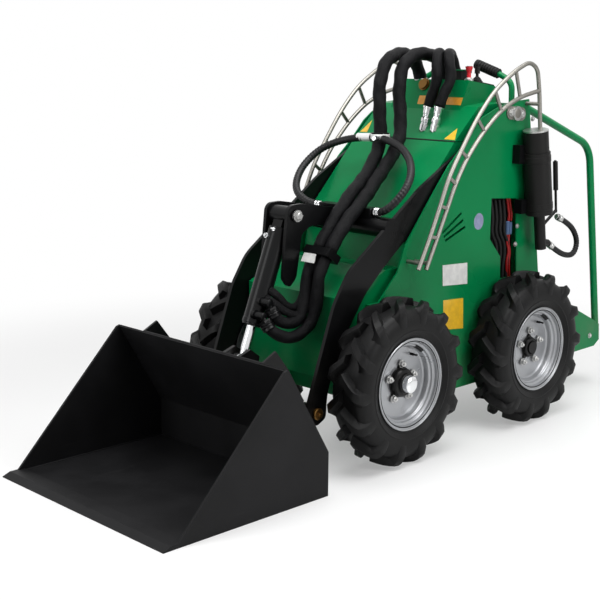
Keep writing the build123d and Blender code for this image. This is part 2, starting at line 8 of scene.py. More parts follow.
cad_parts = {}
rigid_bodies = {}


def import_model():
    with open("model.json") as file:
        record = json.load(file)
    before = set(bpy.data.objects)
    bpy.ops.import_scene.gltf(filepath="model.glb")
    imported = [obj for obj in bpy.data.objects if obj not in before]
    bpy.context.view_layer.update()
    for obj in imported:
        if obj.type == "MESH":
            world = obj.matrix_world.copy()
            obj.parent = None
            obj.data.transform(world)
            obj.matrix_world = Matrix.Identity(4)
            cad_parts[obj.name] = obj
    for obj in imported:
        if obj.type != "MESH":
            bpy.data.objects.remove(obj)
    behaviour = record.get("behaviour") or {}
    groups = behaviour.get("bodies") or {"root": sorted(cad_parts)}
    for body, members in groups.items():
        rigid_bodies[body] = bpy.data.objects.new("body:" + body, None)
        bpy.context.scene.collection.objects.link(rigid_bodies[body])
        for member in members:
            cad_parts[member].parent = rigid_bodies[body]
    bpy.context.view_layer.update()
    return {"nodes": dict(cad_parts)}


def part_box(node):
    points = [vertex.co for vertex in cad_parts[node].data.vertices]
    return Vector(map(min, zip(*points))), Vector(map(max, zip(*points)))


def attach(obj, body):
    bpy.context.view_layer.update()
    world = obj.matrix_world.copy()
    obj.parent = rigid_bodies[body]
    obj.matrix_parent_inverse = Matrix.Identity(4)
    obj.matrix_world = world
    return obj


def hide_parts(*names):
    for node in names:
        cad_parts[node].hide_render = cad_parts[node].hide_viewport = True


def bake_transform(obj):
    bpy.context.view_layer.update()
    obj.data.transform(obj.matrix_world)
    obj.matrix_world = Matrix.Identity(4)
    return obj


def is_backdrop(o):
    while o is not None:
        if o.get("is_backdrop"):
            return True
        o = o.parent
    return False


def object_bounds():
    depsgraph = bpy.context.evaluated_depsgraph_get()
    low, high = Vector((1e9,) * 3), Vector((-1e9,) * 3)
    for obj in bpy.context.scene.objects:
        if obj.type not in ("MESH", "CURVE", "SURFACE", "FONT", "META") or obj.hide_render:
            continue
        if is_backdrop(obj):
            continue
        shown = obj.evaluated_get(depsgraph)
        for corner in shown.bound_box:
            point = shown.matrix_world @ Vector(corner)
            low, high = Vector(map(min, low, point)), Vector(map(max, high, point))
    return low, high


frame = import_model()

nodes = frame["nodes"]
scene = bpy.context.scene


# ------------------------------------------------------------------ camera
# A long lens at chest height, off the machine's front left corner.
front_axle_x = sum(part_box("front_rim_left"), Vector()).x / 2


def at(x, y, z):
    """Point in metres from millimetres ahead of the front axle, to the left and above the ground."""
    return Vector((x / 1000 + front_axle_x, y / 1000, z / 1000))


camera = bpy.data.objects.new("camera", bpy.data.cameras.new("camera"))
scene.collection.objects.link(camera)
scene.camera = camera
camera.data.lens = 72.39
camera.location = at(2671, 2625, 1222)
camera_turn, camera_dip, camera_roll = math.radians(-134.36), math.radians(11.558), 0.0074
ahead = Vector((math.cos(camera_turn) * math.cos(camera_dip), math.sin(camera_turn) * math.cos(camera_dip),
                -math.sin(camera_dip)))
level = ahead.cross(Vector((0, 0, 1))).normalized()
upright = level.cross(ahead)
across = level * math.cos(camera_roll) + upright * math.sin(camera_roll)
camera.rotation_euler = Matrix((across, across.cross(ahead), -ahead)).transposed().to_euler()
scene.view_settings.view_transform = "Standard"


# ------------------------------------------------------------------ green body
# Folded and welded sheet steel: tub, hood, tank top, side plates and platform plates.
# Powder coated in a mid green gloss, with a faint orange peel and a little dust low down.
class Value:
    """A value in a material; sums and products of it add Math nodes."""

    def __init__(self, finish, socket):
        self.finish = finish
        self.socket = socket

    def math(self, operation, *terms):
        return self.finish.node("ShaderNodeMath", {"operation": operation}, dict(enumerate(terms)))

    def __add__(self, other):
        return self.math("ADD", self, other)

    def __sub__(self, other):
        return self.math("SUBTRACT", self, other)

    def __rsub__(self, other):
        return self.math("SUBTRACT", other, self)

    def __mul__(self, other):
        return self.math("MULTIPLY", self, other)

    def spread(self, low, high, to_low=0.0, to_high=1.0):
        """Smooth step from to_low to to_high as this value goes from low to high."""
        return self.finish.node("ShaderNodeMapRange", {"interpolation_type": "SMOOTHSTEP"},
                                {"Value": self, "From Min": low, "From Max": high, "To Min": to_low,
                                 "To Max": to_high})

    __radd__ = __add__
    __rmul__ = __mul__


class Finish:
    """One material: a surface shader, its fixed sockets, and the nodes that vary the others."""

    def __init__(self, name, **fixed):
        self.material = bpy.data.materials.new(name)
        self.material.use_nodes = True
        self.tree = self.material.node_tree
        self.shader = self.tree.nodes["Principled BSDF"]
        self.place = self.node("ShaderNodeTexCoord", output="Object")
        for key, value in fixed.items():
            self.shader.inputs[key.replace("_", " ").title().replace("Ior", "IOR")].default_value = value

    def node(self, kind, settings=None, values=None, output=0):
        node = self.tree.nodes.new(kind)
        for key, value in (settings or {}).items():
            setattr(node, key, value)
        for key, value in (values or {}).items():
            socket = node.inputs[key] if isinstance(key, int) else self.named(node.inputs, key)
            if isinstance(value, Value):
                self.tree.links.new(value.socket, socket)
            else:
                socket.default_value = value
        found = node.outputs[output] if isinstance(output, int) else self.named(node.outputs, output)
        return Value(self, found)

    @staticmethod
    def named(sockets, key):
        return next(s for s in sockets if key in (s.identifier, s.name))

    def noise(self, scale, detail=3.0, rough=0.5, stretch=None):
        where = self.place
        if stretch:
            where = self.node("ShaderNodeMapping", None, {"Vector": self.place, "Scale": stretch})
        return self.node("ShaderNodeTexNoise", None,
                         {"Vector": where, "Scale": scale, "Detail": detail, "Roughness": rough})

    def height(self):
        return self.node("ShaderNodeSeparateXYZ", None, {"Vector": self.place}, output="Z")

    def mix(self, share, first, second):
        """The first colour where share is 0 and the second where it is 1."""
        first, second = (shade if isinstance(shade, Value) else (*shade, 1) for shade in (first, second))
        return self.node("ShaderNodeMix", {"data_type": "RGBA"},
                         {"Factor_Float": share, "A_Color": first, "B_Color": second}, "Result_Color")

    def surface(self, **values):
        """Link what varies: colour, roughness, metallic or coat, and bump as (height value, depth in metres)."""
        names = {"colour": "Base Color", "roughness": "Roughness", "metallic": "Metallic", "coat": "Coat Weight"}
        for key, value in values.items():
            if key == "bump":
                height, depth = value
                bumped = self.node("ShaderNodeBump", None, {"Strength": 1.0, "Distance": depth, "Height": height})
                self.tree.links.new(bumped.socket, self.shader.inputs["Normal"])
            elif isinstance(value, Value):
                self.tree.links.new(value.socket, self.shader.inputs[names[key]])
            else:
                self.shader.inputs[names[key]].default_value = value
        return self


def dress(finish, *names):
    """Give CAD nodes their finish."""
    for name in names:
        mesh = nodes[name].data
        mesh.materials.clear()
        mesh.materials.append(finish.material)


def coated(name, colour, deep, roughness, coat, dust=0.35):
    """Powder coat in two close shades, with orange peel, fine scratches and dust towards the ground."""
    finish = Finish(name, coat_roughness=0.05, specular_ior_level=0.14)
    cloud = finish.noise(2.4, 4.0)
    scuff = finish.noise(46.0, 6.0, 0.7, (1.0, 1.0, 0.14)).spread(0.64, 0.82)
    low = finish.height().spread(0.46, 0.05) * finish.noise(7.0, 5.0, 0.6).spread(0.35, 0.75) * dust
    paint = finish.mix(cloud.spread(0.3, 0.7), deep, colour)
    aged = finish.mix(scuff * 0.1, paint, [min(1, c * 1.6 + 0.02) for c in colour])
    dusty = finish.mix(low, aged, (0.21, 0.18, 0.14))
    peel = finish.noise(420.0, 2.0) * 0.5 + scuff * 0.3
    return finish.surface(colour=dusty, roughness=cloud * 0.1 + scuff * 0.12 + low * 0.4 + roughness,
                          coat=coat - low * coat, bump=(peel, 0.00012))


green_paint = coated("green_powder_coat", (0.0, 0.19, 0.058), (0.0, 0.15, 0.044), 0.24, 0.05)
dress(green_paint, "chassis", "hood_front", "hood_top", "side_plate_left", "side_plate_right", "rear_panel",
      "platform_side_left", "platform_side_right", "platform_floor", "rear_rail_left", "rear_rail_right")


# ------------------------------------------------------------------ lift arms and cylinder barrel
# Laser-cut plate arms on a round cross tube, with bracket plates for the tilt cylinder.
# All in gloss black paint with a little dust.
gloss_black = coated("gloss_black_paint", (0.0042, 0.0044, 0.0048), (0.003, 0.0031, 0.0034), 0.24, 0.04, 0.12)
dress(gloss_black, "lift_arm_left", "lift_arm_right", "cross_tube", "tilt_lug_left", "tilt_lug_right",
      "tilt_barrel", "hose_block", "hose_clamp", "hose_collar", "hitch")


# ------------------------------------------------------------------ bright steel
# Ground and plated parts: the cylinder rod, the pins, the guards' satin tube, and later the nuts,
# ferrules and couplers.
def steel(name, colour, roughness, grain):
    """Bare or plated metal with drawing marks along its length."""
    finish = Finish(name, metallic=1.0)
    lines = finish.noise(grain, 4.0, 0.6, (1.0, 1.0, 9.0))
    cloud = finish.noise(14.0, 3.0)
    tint = finish.mix(cloud, colour, [c * 0.82 for c in colour])
    return finish.surface(colour=tint, roughness=lines * 0.12 + cloud * 0.08 + roughness, bump=(lines, 0.00006))


chrome = steel("chrome_plate", (0.78, 0.79, 0.8), 0.05, 60.0)
satin_steel = steel("satin_stainless", (0.27, 0.26, 0.235), 0.32, 90.0)
zinc = steel("zinc_plate", (0.55, 0.55, 0.54), 0.24, 120.0)
dress(chrome, "tilt_rod")
dress(zinc, "tilt_top_pin", "arm_pivot_pins", "hitch_pins")
dress(satin_steel, "arm_guard_left", "arm_guard_right")


# ------------------------------------------------------------------ bucket
# Welded dirt bucket in satin charcoal paint, scraped towards its cutting edge.
bucket_paint = Finish("bucket_charcoal", coat_roughness=0.25, specular_ior_level=0.12)
bucket_cloud = bucket_paint.noise(5.0, 5.0)
bucket_scrape = bucket_paint.noise(34.0, 6.0, 0.72, (0.12, 1.0, 1.0)).spread(0.6, 0.8)
bucket_low = bucket_paint.height().spread(0.1, 0.0)
bucket_wear = bucket_scrape * (bucket_low * 0.5 + 0.12)
bucket_tone = bucket_paint.mix(bucket_cloud.spread(0.35, 0.65), (0.0055, 0.0055, 0.006), (0.009, 0.009, 0.0097))
bucket_paint.surface(colour=bucket_paint.mix(bucket_wear * 0.6, bucket_tone, (0.045, 0.045, 0.045)),
                     roughness=bucket_cloud * 0.14 + bucket_wear * 0.2 + 0.42, coat=0.0,
                     bump=(bucket_paint.noise(260.0, 3.0) * 0.6 + bucket_scrape * 0.4, 0.0002))
dress(bucket_paint, "bucket", "cutting_edge")


# ------------------------------------------------------------------ engine and dark plastic parts
# A rough cast block inside the hood. Outside it, black plastic levers, gun holder and grease gun,
# hand holds and console in the body's green, a red knob and a brass filler cap.
cast_iron = Finish("cast_iron", metallic=0.6)
cast_iron.surface(colour=cast_iron.mix(cast_iron.noise(30.0, 6.0), (0.05, 0.05, 0.05), (0.12, 0.115, 0.11)),
                  roughness=cast_iron.noise(20.0, 4.0) * 0.3 + 0.45, bump=(cast_iron.noise(380.0, 4.0), 0.0006))
dress(cast_iron, "engine")


def moulded(name, colour, roughness, grain=900.0, coat=0.0):
    """Moulded plastic or rubber with a fine leather-like grain."""
    finish = Finish(name, coat_roughness=0.1, specular_ior_level=0.16)
    cloud = finish.noise(9.0, 4.0)
    cells = finish.node("ShaderNodeTexVoronoi", {"feature": "F1"}, {"Vector": finish.place, "Scale": grain},
                        "Distance")
    tone = finish.mix(cloud, colour, [min(1, c * 1.5 + 0.001) for c in colour])
    return finish.surface(colour=tone, roughness=cloud * 0.14 + roughness, coat=coat,
                          bump=(cells * 0.7 + cloud * 0.3, 0.00018))


black_plastic = moulded("black_plastic", (0.006, 0.0058, 0.0056), 0.34)
black_rubber = moulded("black_rubber", (0.006, 0.006, 0.006), 0.5, 1400.0)
red_plastic = moulded("red_plastic", (0.5, 0.012, 0.02), 0.25, 700.0, 0.4)
brass = steel("brass", (0.2, 0.105, 0.03), 0.3, 80.0)
dress(black_plastic, "control_levers", "gun_holder", "grease_gun")
dress(green_paint, "handles", "console")
dress(red_plastic, "red_knob")
dress(brass, "filler_cap")


# ------------------------------------------------------------------ wheels
# Pressed steel rims in silver paint on black hubs with five nuts, and rubber lug tyres. A plated
# cap closes each front hub.
rim_silver = Finish("rim_silver_paint", metallic=0.55, coat_roughness=0.1)
rim_cloud = rim_silver.noise(11.0, 5.0)
rim_fine = rim_silver.noise(900.0, 2.0)
rim_dust = rim_silver.noise(24.0, 6.0, 0.7).spread(0.55, 0.8)
rim_tone = rim_silver.mix(rim_cloud, (0.29, 0.3, 0.315), (0.37, 0.375, 0.39))
rim_silver.surface(colour=rim_silver.mix(rim_dust * 0.22, rim_tone, (0.16, 0.15, 0.135)),
                   roughness=rim_cloud * 0.1 + rim_dust * 0.25 + 0.24, coat=0.3, bump=(rim_fine, 0.00012))
dress(gloss_black, "front_stub_axles", "rear_stub_axles")

tyre_rubber = Finish("tyre_rubber", specular_ior_level=0.13)
tyre_cloud = tyre_rubber.noise(16.0, 5.0)
tyre_dust = tyre_rubber.noise(60.0, 6.0, 0.75).spread(0.52, 0.78)
tyre_tone = tyre_rubber.mix(tyre_cloud, (0.003, 0.003, 0.0034), (0.006, 0.006, 0.006))
tyre_rubber.surface(colour=tyre_rubber.mix(tyre_dust * 0.06, tyre_tone, (0.1, 0.095, 0.085)),
                    roughness=tyre_cloud * 0.16 + tyre_dust * 0.12 + 0.36,
                    bump=(tyre_rubber.noise(240.0, 5.0, 0.6), 0.0004))


def merged(name, meshes):
    """Several plain meshes as one mesh."""
    whole = bmesh.new()
    for mesh in meshes:
        whole.from_mesh(mesh)
    result = bpy.data.meshes.new(name)
    whole.to_mesh(result)
    whole.free()
    return result


def placed(name, mesh, body):
    """A new object for the mesh, riding on its body; one that crosses a joint has none."""
    made = bpy.data.objects.new(name, mesh)
    scene.collection.objects.link(made)
    if body:
        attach(made, body)
    return made


def joined(name, meshes, finish, body, sharp=32.0):
    """Meshes as one piece: doubles merged, faces outwards, edges over the angle kept sharp, its finish on."""
    mesh = merged(name, meshes)
    cleaned = bmesh.new()
    cleaned.from_mesh(mesh)
    bmesh.ops.remove_doubles(cleaned, verts=cleaned.verts, dist=1e-6)
    bmesh.ops.recalc_face_normals(cleaned, faces=cleaned.faces)
    cleaned.to_mesh(mesh)
    cleaned.free()
    mesh.materials.clear()
    mesh.materials.append(finish.material)
    for polygon in mesh.polygons:
        polygon.use_smooth = True
        polygon.material_index = 0
    mesh.set_sharp_from_angle(angle=math.radians(sharp))
    return placed(name, mesh, body)


def plain_mesh(vertices, faces, shift=Vector()):
    """A mesh data block moved to its place."""
    mesh = bpy.data.meshes.new("plain")
    mesh.from_pydata([tuple(v + shift) for v in vertices], [], faces)
    return mesh


def skin(rows, size):
    """Faces round a row-by-row tube of points, then its two end caps."""
    faces = [(row * size + i, row * size + (i + 1) % size, (row + 1) * size + (i + 1) % size, (row + 1) * size + i)
             for row in range(rows - 1) for i in range(size)]
    return faces + [tuple(range(size)), tuple(range((rows - 1) * size, rows * size))]


def faced(vertices, outward):
    """Points given for the machine's left, turned to face its right where outward is -1."""
    return [Vector((v.x, outward * v.y, v.z)) for v in vertices]


def lathe(profile, steps=64):
    """Vertices and faces of (radius, y) points turned about the Y axis."""
    vertices = []
    for step in range(steps):
        turn = 2 * math.pi * step / steps
        vertices += [Vector((r * math.sin(turn), y, r * math.cos(turn))) for r, y in profile]
    size = len(profile)
    faces = [(step * size + i, step * size + (i + 1) % size, (step + 1) % steps * size + (i + 1) % size,
              (step + 1) % steps * size + i) for step in range(steps) for i in range(size)]
    return vertices, faces


class GeometryTree:
    """A Geometry Nodes tree with named inputs that ends in Realize Instances and Set Material."""

    def __init__(self, name, **inputs):
        self.tree = bpy.data.node_groups.new(name, "GeometryNodeTree")
        self.tree.interface.new_socket("Geometry", in_out="INPUT", socket_type="NodeSocketGeometry")
        self.ids = {}
        for key, kind in inputs.items():
            self.ids[key] = self.tree.interface.new_socket(key, in_out="INPUT", socket_type=kind).identifier
        self.ids["finish"] = self.tree.interface.new_socket("finish", in_out="INPUT",
                                                            socket_type="NodeSocketMaterial").identifier
        self.tree.interface.new_socket("Geometry", in_out="OUTPUT", socket_type="NodeSocketGeometry")
        self.given = self.tree.nodes.new("NodeGroupInput").outputs

    def add(self, kind, values, output=0, **settings):
        node = self.tree.nodes.new(kind)
        for key, value in settings.items():
            setattr(node, key, value)
        for key, value in values.items():
            socket = node.inputs[key]
            if isinstance(value, bpy.types.NodeSocket):
                self.tree.links.new(value, socket)
            else:
                socket.default_value = value
        return node.outputs[output]

    def math(self, operation, *terms):
        return self.add("ShaderNodeMath", dict(enumerate(terms)), operation=operation)

    def end(self, geometry):
        real = self.add("GeometryNodeRealizeInstances", {"Geometry": geometry})
        coloured = self.add("GeometryNodeSetMaterial", {"Geometry": real, "Material": self.given["finish"]})
        self.tree.links.new(coloured, self.tree.nodes.new("NodeGroupOutput").inputs[0])

    def run(self, vertices, faces, **inputs):
        """The tree's plain mesh for a starting mesh and its inputs."""
        mesh = bpy.data.meshes.new("start")
        mesh.from_pydata([tuple(v) for v in vertices], [], faces)
        start = bpy.data.objects.new("start", mesh)
        scene.collection.objects.link(start)
        modifier = start.modifiers.new("copies", "NODES")
        modifier.node_group = self.tree
        for key, value in inputs.items():
            modifier[self.ids[key]] = value
        view_layer_graph = bpy.context.evaluated_depsgraph_get()
        result = bpy.data.meshes.new_from_object(start.evaluated_get(view_layer_graph))
        start.modifiers.remove(modifier)
        bpy.data.objects.remove(start)
        return result


round_axle = GeometryTree("copies_round_an_axle", count="NodeSocketInt", centre="NodeSocketVector")
axle_share = round_axle.math("DIVIDE", round_axle.add("GeometryNodeInputIndex", {}), round_axle.given["count"])
axle_turn = round_axle.math("MULTIPLY", axle_share, 2 * math.pi)
axle_points = round_axle.add("GeometryNodePoints", {"Count": round_axle.given["count"],
                                                    "Position": round_axle.given["centre"]})
axle_copies = round_axle.add("GeometryNodeInstanceOnPoints",
                             {"Points": axle_points, "Instance": round_axle.given["Geometry"],
                              "Rotation": round_axle.add("ShaderNodeCombineXYZ", {"Y": axle_turn})})
round_axle.end(axle_copies)

lugs_a_side = 14
carcass_side = [(0.1288, 0.0500), (0.1300, 0.0525), (0.1440, 0.0525), (0.1475, 0.0548), (0.1500, 0.0548),
                (0.1545, 0.0585), (0.1640, 0.0618), (0.1650, 0.0628), (0.1680, 0.0630), (0.1692, 0.0623),
                (0.1800, 0.0640), (0.1930, 0.0640), (0.2060, 0.0622), (0.2170, 0.0582), (0.2255, 0.0515),
                (0.2300, 0.0400), (0.2320, 0.0200)]
carcass_profile = carcass_side + [(0.2324, 0.0)] + [(r, -y) for r, y in carcass_side[::-1]]
lug_line = [(0.0015, 0.2549, 0.0225), (0.0180, 0.2548, 0.0228), (0.0340, 0.2540, 0.0235), (0.0470, 0.2520, 0.0240),
            (0.0560, 0.2475, 0.0245), (0.0615, 0.2400, 0.0230), (0.0642, 0.2300, 0.0190), (0.0649, 0.2190, 0.0130),
            (0.0649, 0.2060, 0.0080), (0.0648, 0.1940, 0.0050), (0.0644, 0.1850, 0.0030)]
lug_half_width = 0.0125
lug_reach = 0.0648
lug_slant = 0.23


def lug_mesh(side):
    """One tractor lug from the tread's middle over the shoulder; side is 1 or -1 along the axle."""
    vertices = []
    section = [(-1.9, 1.0), (-1.3, 0.45), (-1.04, 0.12), (-0.88, 0.0), (0.88, 0.0), (1.04, 0.12), (1.3, 0.45),
               (1.9, 1.0)]
    for index, (y, radius, depth) in enumerate(lug_line):
        before = lug_line[max(index - 1, 0)]
        after = lug_line[min(index + 1, len(lug_line) - 1)]
        run = Vector((after[0] - before[0], after[1] - before[1])).normalized()
        outward = Vector((-run.y, run.x)) if run.x > 0.2 else Vector((1.0, 0.25)).normalized()
        turn = lug_slant * (y / lug_reach) ** 0.9 + (0.02 if index > 6 else 0.0)
        widen = lug_half_width * (1.0 + 0.3 * min(index, 6) / 6 - 0.5 * max(index - 7, 0) / 4)
        for sideways, down in section:
            place_y = y - outward.x * depth * down
            place_r = radius - outward.y * depth * down
            angle = turn + sideways * widen / radius
            vertices.append(Vector((place_r * math.sin(angle), side * place_y, place_r * math.cos(angle))))
    faces = skin(len(lug_line), len(section))
    faces[-2] = faces[-2][::-1]
    return vertices, faces


nut_circle = 0.057
nut_corners = 12


def nut_mesh(outward, foot):
    """Wheel nut with a washer and the stud's end; outward is 1 or -1 along the axle."""
    vertices = []
    washer_top, nut_top = 0.0022, 0.0124
    layers = [(0.0125, 0.0), (0.0125, washer_top), (0.0096, washer_top), (0.0096, 0.0105), (0.0078, nut_top),
              (0.0048, nut_top), (0.0048, 0.0168), (0.0036, 0.018)]
    for radius, rise in layers:
        for i in range(nut_corners):
            corner = radius * (1.0 if i % 2 or rise < washer_top or rise > nut_top else 0.93)
            turn = 2 * math.pi * i / nut_corners
            vertices.append(Vector((corner * math.sin(turn), foot + outward * rise,
                                    nut_circle + corner * math.cos(turn))))
    return vertices, skin(len(layers), nut_corners)


rim_disc_face = 0.0105
rim_profile = [(0.1420, 0.0545), (0.1420, 0.0560), (0.1405, 0.0578), (0.1385, 0.0578), (0.1368, 0.0560),
               (0.1358, 0.0520), (0.1335, 0.0492), (0.1300, 0.0480), (0.1285, 0.0462), (0.1278, 0.0420),
               (0.1258, 0.0395), (0.1225, 0.0385), (0.1208, 0.0368), (0.1200, 0.0325), (0.1182, 0.0300),
               (0.1150, 0.0288), (0.1132, 0.0262), (0.1120, 0.0200), (0.1100, 0.0130), (0.1060, 0.0092),
               (0.0980, 0.0082), (0.0720, 0.0098), (0.0640, 0.0105), (0.0215, 0.0105), (0.0215, 0.0068),
               (0.0620, 0.0066), (0.1060, 0.0046), (0.1085, 0.0000), (0.1085, -0.0200), (0.1210, -0.0360),
               (0.1230, -0.0560), (0.1410, -0.0560), (0.1420, -0.0545), (0.1290, -0.0515), (0.1275, -0.0480),
               (0.1275, -0.0370), (0.1130, -0.0220), (0.1130, 0.0150), (0.1275, 0.0370), (0.1275, 0.0480),
               (0.1290, 0.0515)]


def lobed_flange(radius, lobe, foot, top, outward):
    """Thin flange with a rounded lobe under each of the five nuts."""
    count = 120
    bevel = 0.0008
    turns = [2 * math.pi * i / count for i in range(count)]
    outline = [(radius + lobe * max(0.0, math.cos(5 * turn)) ** 2, turn) for turn in turns]
    levels = ((foot, 0.0), (top - bevel, 0.0), (top, bevel))
    vertices = [Vector(((reach - inset) * math.sin(turn), outward * y, (reach - inset) * math.cos(turn)))
                for y, inset in levels for reach, turn in outline]
    return vertices, skin(len(levels), count)


def rim_slot_shade(outward):
    """Black sliver laid on the rim's second step: painted shade standing in for the dark opening of a valve slot
    pressed through it.
    """
    section = [(0.1204, 0.0330), (0.1182, 0.0302), (0.1150, 0.0291), (0.1134, 0.0268), (0.1123, 0.0215),
               (0.1138, 0.0195), (0.1160, 0.0250), (0.1215, 0.0300)]
    steps = 14
    vertices = []
    for i in range(steps + 1):
        turn = math.radians(-24 - 19 * i / steps)
        vertices += [Vector(((r - 0.0009) * math.sin(turn), outward * (y + 0.0006), (r - 0.0009) * math.cos(turn)))
                     for r, y in section]
    return vertices, skin(steps + 1, len(section))


def wheel_part(profile, steps, outward, place):
    """A lathe-turned part of a wheel, facing outwards at its place."""
    vertices, faces = lathe(profile, steps)
    return plain_mesh(faced(vertices, outward), faces, place)


valve_profile = [(0.0, 0.0), (0.0042, 0.0), (0.0042, 0.012), (0.003, 0.014), (0.003, 0.026), (0.0, 0.027)]


for end in ("front", "rear"):
    for side, outward in (("left", 1), ("right", -1)):
        body = f"wheel_{end}_{side}"
        rim_low, rim_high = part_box(f"{end}_rim_{side}")
        centre = (rim_low + rim_high) / 2
        parts = [plain_mesh(*lathe(carcass_profile, 120), centre)]
        for lug_side in (1, -1):
            vertices, faces = lug_mesh(lug_side)
            if lug_side < 0:
                half_pitch = Matrix.Rotation(math.pi / lugs_a_side, 3, "Y")
                vertices = [half_pitch @ v for v in vertices]
            if outward < 0:
                vertices = [Vector((-v.x, v.y, v.z)) for v in vertices]
            parts.append(round_axle.run(vertices, faces, count=lugs_a_side, centre=centre))
        tyre = joined(f"{end}_lug_tyre_{side}", parts, tyre_rubber, body, 38.0)
        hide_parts(f"{end}_tyre_{side}")
        dished_rim = joined(f"{end}_dished_rim_{side}", [wheel_part(rim_profile, 112, outward, centre)], rim_silver,
                            body, 28.0)
        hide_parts(f"{end}_rim_{side}")
        hub_radius, hub_lobe = (0.047, 0.019) if end == "front" else (0.036, 0.009)
        flange_foot, flange_top = rim_disc_face - 0.0005, rim_disc_face + 0.005
        hub_parts = [plain_mesh(*lobed_flange(hub_radius, hub_lobe, flange_foot, flange_top, outward), centre),
                     # The hub flange piece also carries the rim's black slot sliver, which is painted shade.
                     plain_mesh(*rim_slot_shade(outward), centre)]
        joined(f"{end}_hub_flange_{side}", hub_parts, gloss_black, body)
        nuts = round_axle.run(*nut_mesh(outward, outward * (flange_top - 0.0005)), count=5, centre=centre)
        joined(f"{end}_wheel_nuts_{side}", [nuts], zinc, body)
        valve_place = centre + Vector((-0.05, outward * 0.008, 0.078))
        joined(f"{end}_valve_{side}", [wheel_part(valve_profile, 16, outward, valve_place)], black_rubber, body)

hub_profile = [(0.0, 0.0140), (0.0440, 0.0140), (0.0440, 0.0260), (0.0400, 0.0310), (0.0320, 0.0330),
               (0.0300, 0.0400), (0.0, 0.0400)]
cap_profile = [(0.0, 0.0380), (0.0262, 0.0380), (0.0268, 0.0400), (0.0268, 0.0560), (0.0255, 0.0600), (0.0215, 0.0628),
               (0.0120, 0.0643), (0.0, 0.0646)]
rear_ring_profile = [(0.0205, 0.0140), (0.0330, 0.0140), (0.0330, 0.0230), (0.0305, 0.0260), (0.0235, 0.0260),
                     (0.0205, 0.0230)]
for side, outward in (("left", 1), ("right", -1)):
    low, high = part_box(f"front_rim_{side}")
    centre = (low + high) / 2
    for name, profile, finish, slot in (("motor_hub", hub_profile, gloss_black, "black_paint"),
                                        ("chrome_cap", cap_profile, chrome, "bright_steel")):
        made = joined(f"front_{name}_{side}", [wheel_part(profile, 56, outward, centre)], finish,
                      f"wheel_front_{side}")
        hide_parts(f"front_hub_cap_{side}")
    low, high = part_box(f"rear_rim_{side}")
    joined(f"rear_hub_ring_{side}", [wheel_part(rear_ring_profile, 48, outward, (low + high) / 2)], gloss_black,
           f"wheel_rear_{side}")


# ------------------------------------------------------------------ hydraulic hoses
# Rubber hoses, most of them in a woven black sleeve, looping from the console to the lift arms, where a collar, a
# manifold and a clamp hold them.
sleeve_cloth = Finish("woven_sleeve", specular_ior_level=0.1)
sleeve_map = sleeve_cloth.node("ShaderNodeUVMap", {"uv_map": "wrap"})
sleeve_u, sleeve_v = (sleeve_cloth.node("ShaderNodeSeparateXYZ", None, {"Vector": sleeve_map}, way) for way in "XY")
strands_round = 26
strand_turns = strands_round * 2 * math.pi
strand_pitch = 1450.0
left_strand = sleeve_u * strand_turns + sleeve_v * strand_pitch
right_strand = sleeve_u * strand_turns - sleeve_v * strand_pitch
weave = left_strand.math("SINE", left_strand) * right_strand.math("SINE", right_strand)
fold = sleeve_cloth.noise(38.0, 4.0, 0.6)
sleeve_tone = sleeve_cloth.mix(weave.spread(-0.7, 0.7), (0.0008, 0.0008, 0.001), (0.0042, 0.0042, 0.005))
crease = sleeve_cloth.noise(16.0, 5.0, 0.6)
sleeve_cloth.surface(colour=sleeve_cloth.mix(fold * 0.4, sleeve_tone, (0.005, 0.005, 0.006)),
                     roughness=fold * 0.12 + weave * 0.06 + 0.44, bump=(weave * 0.12 + fold + crease * 2.4, 0.003))


def route_line(route, steps):
    """Evenly dense points along the smooth line that has the route as its control points."""
    curve = bpy.data.curves.new("line", "CURVE")
    curve.dimensions = "3D"
    spline = curve.splines.new("NURBS")
    spline.points.add(len(route) - 1)
    for point, place in zip(spline.points, route):
        point.co = (*place, 1.0)
    spline.order_u = 3
    spline.use_endpoint_u = True
    spline.resolution_u = steps
    guide = bpy.data.objects.new("line", curve)
    scene.collection.objects.link(guide)
    line_mesh = bpy.data.meshes.new_from_object(guide.evaluated_get(bpy.context.evaluated_depsgraph_get()))
    line = [v.co.copy() for v in line_mesh.vertices]
    bpy.data.objects.remove(guide)
    return [p for i, p in enumerate(line) if i == 0 or (p - line[i - 1]).length > 1e-6]


def hose_mesh(route, diameter, sides=24, steps=10, pucker=0.0, ridge=0.0, pitch=0.012):
    """Tube along a route with a wrap map: around it from 0 to 1, and along it in metres.

    Pucker is the share that loose cloth gives the radius, and ridge the depth of a spiral rib of that pitch.
    """
    line = route_line(route, steps)
    vertices = []
    wraps = []
    normal = None
    travelled = 0.0
    for index, here in enumerate(line):
        direction = (line[min(index + 1, len(line) - 1)] - line[max(index - 1, 0)]).normalized()
        if normal is None:
            normal = direction.orthogonal().normalized()
        normal = (normal - direction * normal.dot(direction)).normalized()
        side_way = direction.cross(normal)
        if index:
            travelled += (here - line[index - 1]).length
        for i in range(sides):
            turn = 2 * math.pi * i / sides
            wave = math.sin(travelled * 118 + 2 * turn) + math.sin(travelled * 71 - turn + 1.3)
            spiral = abs(math.sin(math.pi * travelled / pitch + turn / 2))
            radius = diameter / 2 * (1 - pucker + pucker * 0.5 * wave) - ridge * (1 - spiral)
            vertices.append(here + (normal * math.cos(turn) + side_way * math.sin(turn)) * radius)
        wraps.append(travelled)
    mesh = bpy.data.meshes.new("hose")
    faces = skin(len(line), sides)
    faces[-2] = faces[-2][::-1]
    mesh.from_pydata([tuple(v) for v in vertices], [], faces)
    wrap = mesh.uv_layers.new(name="wrap")
    for number, polygon in enumerate(mesh.polygons[:-2]):
        row, i = divmod(number, sides)
        around = (i / sides, (i + 1) / sides, (i + 1) / sides, i / sides)
        along = (wraps[row], wraps[row], wraps[row + 1], wraps[row + 1])
        for loop, u, v in zip(polygon.loop_indices, around, along):
            wrap.data[loop].uv = (u, v)
    return mesh


